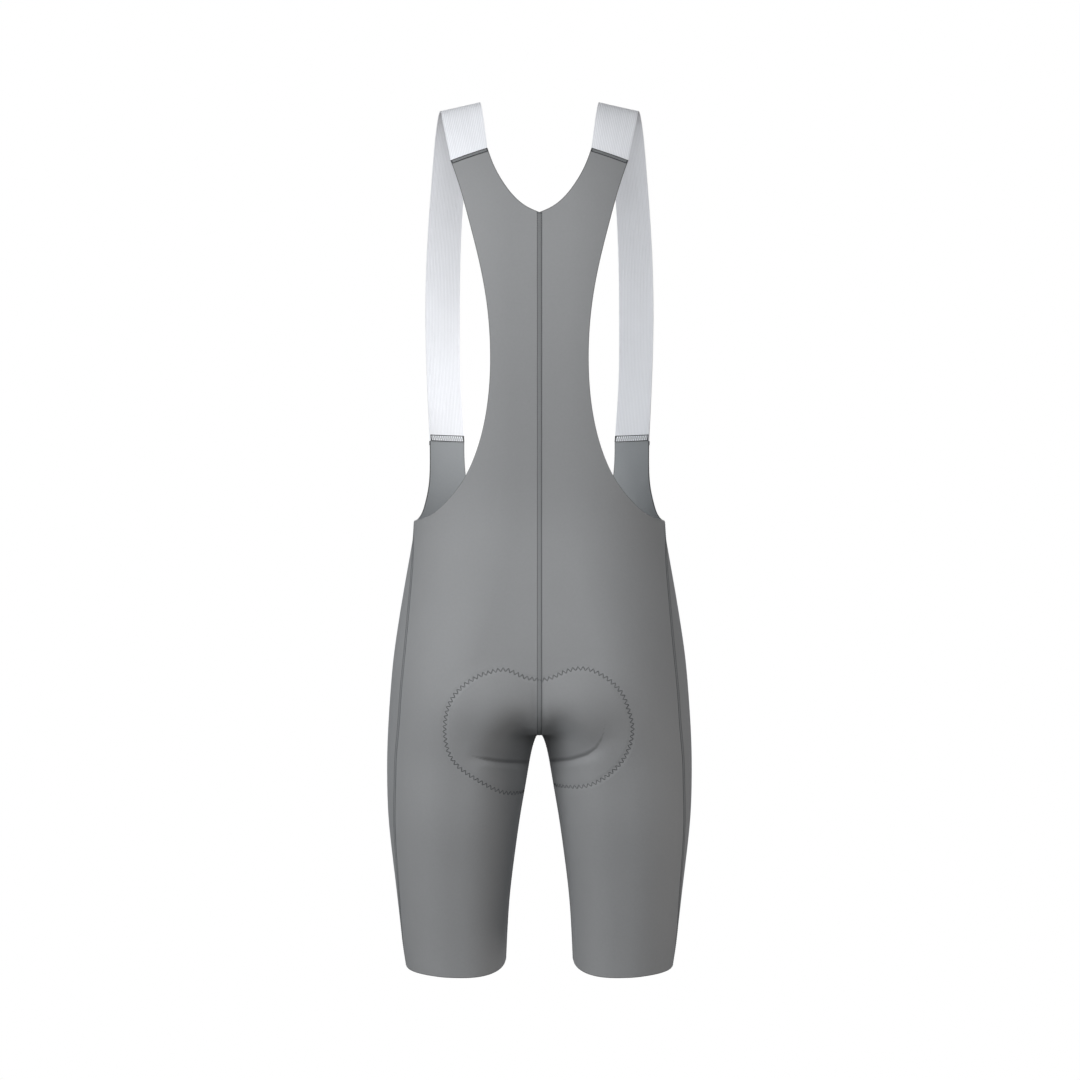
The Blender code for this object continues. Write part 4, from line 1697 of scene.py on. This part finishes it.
@dataclass
class SewnPad(Part):
    """The zigzag that sews the pad to the cloth, all the way round it."""

    half_width: float = 2.2
    pitch: float = 5.2
    steps: int = 6  # of its line on each side of a tooth
    stretch: float = 0.5  # how much longer the teeth are where the cloth turns in between the legs
    thread: float = 0.28
    line_step: float = 1.2
    strip_half: float = 3

    def quarter_line(self, face: Face, side: Side) -> Array:
        """The sewn line on one quarter, from the middle seam to the inner leg seam."""
        _, laid = self.figure.pad_line(face, side, 120)
        return self.figure.place(face, laid) * (side.value, 1, 1)

    def build(self, side: Side) -> Piece:
        """Sews the zigzag on one side of the wearer.

        Args:
            side: The side.

        Returns:
            Its thread.
        """
        back, front = (self.quarter_line(face, side) for face in Face)
        line = evenly(np.concatenate([back, front[-2::-1]]), self.line_step)
        patch = self.figure.strip(line, np.linspace(-self.strip_half, self.strip_half, 7))
        turned = np.interp(np.gradient(patch.middle[:, 1], patch.runs) ** 2, [0, 1], [0, self.stretch])
        worn = run_length(np.cumsum((1 - turned) * np.gradient(patch.runs))[:, None])
        count = 2 * round(worn[-1] / self.pitch) * self.steps
        phase = np.arange(count + 1) % self.steps
        lift = np.interp(np.minimum(phase, self.steps - phase), [0, 1, 3], [-0.3, 0.12, 0.26])
        along = np.interp(np.linspace(0, worn[-1], count + 1), worn, patch.runs)
        strand = patch.at(along, self.half_width * zigzag(count, self.steps), lift)
        return thread_piece(f"pad_zigzag_{side.word}", [strand], self.thread, self.wardrobe.thread)


@dataclass
class JointBand(Part):
    """The overedged joint of a panel and a brace: a thread band on the outside, and on the inside the
    brace's own allowance under loops of thread."""

    name: str
    outside: Patch
    inside: Patch
    outer_height: float = 4.6
    inner_height: float = 7.2
    depth: float = 0.8
    inset: float = 0.3
    proud: float = 0.5
    rib: float = 0.6
    loop_pitch: float = 1.3
    line_wave: float = 0.22
    line_thread: float = 0.42
    loop_thread: float = 0.24

    def band(self, patch: Patch, height: float, word: str, finish: Material) -> Piece:
        """Lays a low padded strip along the joint.

        Args:
            patch: The strip of cloth or elastic that it lies on.
            height: How wide it is, up the joint.
            word: What its name ends with.
            finish: Its material.

        Returns:
            The strip.
        """
        offsets = np.array([0, 0.05, 0.15, 0.5, 0.85, 0.95, 1]) * height
        lift = self.proud * np.array([-0.2, 0.6, 1, 1, 1, 0.6, -0.2])
        along = np.linspace(self.inset, patch.length - self.inset, 60)
        points = patch.at(along[:, None], offsets[None, :], lift[None, :])
        marks = {**unmarked(points), "rib": np.full(points.shape[:2], self.rib)}
        if np.cross(points[1, 0] - points[0, 0], points[0, 1] - points[0, 0]) @ patch.ways[0, 0] > 0:
            points = points[:, ::-1]
        return finish_shell(grid_piece(f"{self.name}_{word}", points, marks), self.depth, finish)

    def threads(self, patch: Patch, height: float) -> tuple[list[Array], list[Array]]:
        """Lays the threads over one band.

        Args:
            patch: The strip of cloth or elastic that the band lies on.
            height: How wide the band is.

        Returns:
            The lines along it and at its ends, and the loops across it.
        """
        along = np.linspace(0.5, patch.length - 0.5, 130)
        wave = self.line_wave * np.cos(2 * math.pi * along / self.loop_pitch)
        lines = [
            patch.at(along, offset + wave, self.proud + 0.05) for offset in (self.inset, height - self.inset)
        ]
        for end in (0.6, 1.3, patch.length - 1.3, patch.length - 0.6):
            lines.append(patch.at(end, np.linspace(0, height, 8), self.proud + 0.1))
        along, across = patch.crossed(self.loop_pitch, 4, inset=0.8)
        across = height / 2 + (height / 2 - self.inset) * across
        return lines, [patch.at(along, across, self.proud + 0.08)]

    def build(self) -> list[Piece]:
        """Sews the joint.

        Returns:
            Its pieces, those outside first.
        """
        looks = self.wardrobe
        made = []
        for word, patch, height, finish, slot in (
            ("band", self.outside, self.outer_height, looks.seam, Slot.KNIT),
            ("allowance", self.inside, self.inner_height, looks.elastic, Slot.ELASTIC),
        ):
            made.append(declared(self.band(patch, height, word, finish), slot))
            lines, loops = self.threads(patch, height)
            name = f"{self.name}_{word}"
            made.append(thread_piece(f"{name}_lines", lines, self.line_thread, looks.thread))
            made.append(thread_piece(f"{name}_loops", loops, self.loop_thread, looks.cover_thread))
        return made


@dataclass
class BibShorts(Part):
    """The whole garment."""

    back_cut: Cut = Cut(0.205, 0.93, 0.118)
    front_cut: Cut = Cut(0.262, 0.6, 0.117)
    brace_cut: Cut = Cut(0.038, 0.4, 0.0152)
    side_seam_top: float = -452.6
    inseam_top: float = 0.075  # the square root of the share of the leg above its start
    joint_reach: float = 8
    joint_step: float = 0.5

    def middle_line(self) -> Array:
        """Runs the middle seam from the back neck through the crotch to the front neck.

        Returns:
            Points of the skin.
        """
        turn = np.linspace(0, QUARTER, 160)
        halves = []
        for face, top in ((Face.BACK, BACK_NECK[0].z), (Face.FRONT, FRONT_NECK_Z)):
            curve = self.figure.crotch_z + self.figure.rise(face) * (1 - np.cos(turn))
            heights = np.concatenate([curve, np.linspace(curve[-1], top, 300)[1:]])
            halves.append(self.figure.place(face, seam_at(0, heights)))
        return np.concatenate([halves[0][::-1], halves[1][1:]])

    def inseam_line(self, side: Side) -> Array:
        """An inner leg seam, from just under the crotch to the hem."""
        z = self.figure.crotch_z - np.linspace(self.inseam_top, 1, 240) ** 2 * (self.figure.crotch_z - HEM_Z)
        return np.stack([side.value * self.figure.leg_gap(z), np.zeros(len(z)), z], axis=-1)

    def side_line(self, side: Side) -> Array:
        """A side seam, from the waist corner to the hem."""
        z = np.linspace(self.side_seam_top, HEM_Z - SIDE_DROP + 0.3, 300)
        return self.figure.place(Face.BACK, seam_at(1, z)) * (side.value, 1, 1)

    def build(self) -> None:
        """Makes every piece of the garment."""
        parts = self.figure, self.wardrobe
        panels, braces = {}, {}
        for side in Side:
            for face, cut in ((Face.BACK, self.back_cut), (Face.FRONT, self.front_cut)):
                panel = Panel(*parts, face, side, cut)
                panels[face, side] = panel, panel.build()
            brace = Brace(*parts, side, self.brace_cut)
            braces[side] = brace, brace.build()
        SeatPad(*parts).build()
        sewing = {quarter: [] for quarter in panels}
        middle = self.middle_line()
        crotch_at = run_length(middle)[middle[:, 2].argmin()]
        seam = FlatSeam(*parts, "middle_seam", middle, pinch_at=crotch_at, dark_run=330)
        sewing[Face.BACK, Side.LEFT] += seam.build()
        for side in Side:
            for name, line in (("side_seam", self.side_line), ("inner_leg_seam", self.inseam_line)):
                sewing[Face.BACK, side] += FlatSeam(*parts, f"{name}_{side.word}", line(side)).build()
        for side in Side:
            sewing[Face.BACK, side].append(SewnPad(*parts).build(side))
        offsets = np.arange(0, self.joint_reach + self.joint_step / 2, self.joint_step)
        for (face, side), (panel, _) in panels.items():
            patches = panel.end_strip(offsets), braces[side][0].end_strip(face, offsets)
            sewing[face, side] += JointBand(*parts, f"{face.word}_joint_{side.word}", *patches).build()
        for brace, piece in braces.values():
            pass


# ---------------------------------------------------------------- studio
@dataclass(frozen=True)
class Lamp:
    """A soft square light. Metres and watts."""

    name: str
    place: tuple[float, float, float]
    size: float
    power: float
    colour: tuple[float, float, float] = (1, 1, 1)
    aim: tuple[float, float, float] = TARGET


@dataclass
class Studio:
    """The camera, the lights, the pale floor and the white surroundings. Metres."""

    distance: float = 1.75
    lens: float = 53.03
    ambient: float = 0.1
    backdrop: float = 1.0
    floor_z: float = -1.42
    floor_radius: float = 0.95
    lamps: tuple[Lamp, ...] = (
        Lamp("key", (-1.53, -1.29, -0.2), 1.2, 20.5, colour=(0.97, 1.0, 1.02)),
        Lamp("back", (0.0, -2.0, 0.4), 1.2, 21, colour=(0.98, 1.0, 1.01)),
        Lamp("high", (-1.15, -1.64, 0.9), 1.2, 7),
        Lamp("under", (2.0, 0.0, -1.6), 1.2, 13.5, colour=(1.0, 0.97, 0.94)),
        Lamp("front", (0.0, 2.4, 0.4), 1.2, 40),
        Lamp("inner", (0.03, -0.005, -0.33), 0.06, 0.125, aim=(-0.115, 0.08, -0.4)),
        Lamp("inner_high", (0.02, -0.005, -0.25), 0.06, 0.05, aim=(-0.11, 0.09, -0.2)),
        Lamp("seat", (0.0, 0.0, -0.5), 0.08, 0.1, aim=(0.0, 0.0, -0.68)),
    )

    def build(self) -> None:
        """Sets up the studio."""
        self.place_camera()
        for lamp in self.lamps:
            self.hang(lamp)
        self.lay_floor()
        self.surround()
        bpy.context.scene.view_settings.view_transform = "Standard"

    def place_camera(self) -> None:
        """Puts the camera level behind the garment, looking at its back."""
        x, y, z = TARGET
        bpy.ops.object.camera_add(location=(x, y - self.distance, z), rotation=(QUARTER, 0, 0))
        camera = bpy.context.active_object
        camera.data.lens = self.lens
        camera.data.sensor_width = 36
        bpy.context.scene.camera = camera

    def hang(self, lamp: Lamp) -> None:
        """Hangs a light, facing its aim. The camera doesn't see it.

        Args:
            lamp: The light.
        """
        bpy.ops.object.light_add(type="AREA", location=lamp.place)
        light = bpy.context.active_object
        light.name = f"{lamp.name}_light"
        light.data.size = lamp.size
        light.data.energy = lamp.power
        light.data.color = lamp.colour
        light.visible_camera = False
        x, y, z = np.array(lamp.place) - np.array(lamp.aim)
        light.rotation_euler = (math.atan2(math.hypot(x, y), z), 0, math.atan2(y, x) + QUARTER)

    def lay_floor(self) -> None:
        """A pale round floor that throws no light up at the garment."""
        bpy.ops.mesh.primitive_cylinder_add(
            vertices=96, radius=self.floor_radius, depth=0.02, location=(0, 0, self.floor_z)
        )
        floor = bpy.context.active_object
        floor.name = "floor"
        made = bpy.data.materials.new("pale_floor")
        made.use_nodes = True
        shader = made.node_tree.nodes["Principled BSDF"]
        Graph(made.node_tree).settle(shader, Base_Color=(0.86, 0.86, 0.86, 1), Roughness=0.9)
        floor.data.materials.append(made)
        floor.visible_diffuse = False

    def surround(self) -> None:
        """White all round where the camera sees it, and dimmer as a light."""
        world = bpy.data.worlds.new("white_surroundings")
        world.use_nodes = True
        bpy.context.scene.world = world
        graph = Graph(world.node_tree)
        camera_ray = graph.node("ShaderNodeLightPath").outputs["Is Camera Ray"]
        seen = graph.math("MULTIPLY", camera_ray, self.backdrop - self.ambient)
        light = graph.math("ADD", seen, self.ambient)
        graph.settle(world.node_tree.nodes["Background"], Color=(1, 1, 1, 1), Strength=light)


def main() -> None:
    """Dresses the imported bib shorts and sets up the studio."""
    logging.basicConfig(level=logging.INFO, format="%(message)s")
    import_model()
    select_only()
    Studio().build()
    BibShorts(Figure(), Wardrobe()).build()


if __name__ == "__main__":
    main()
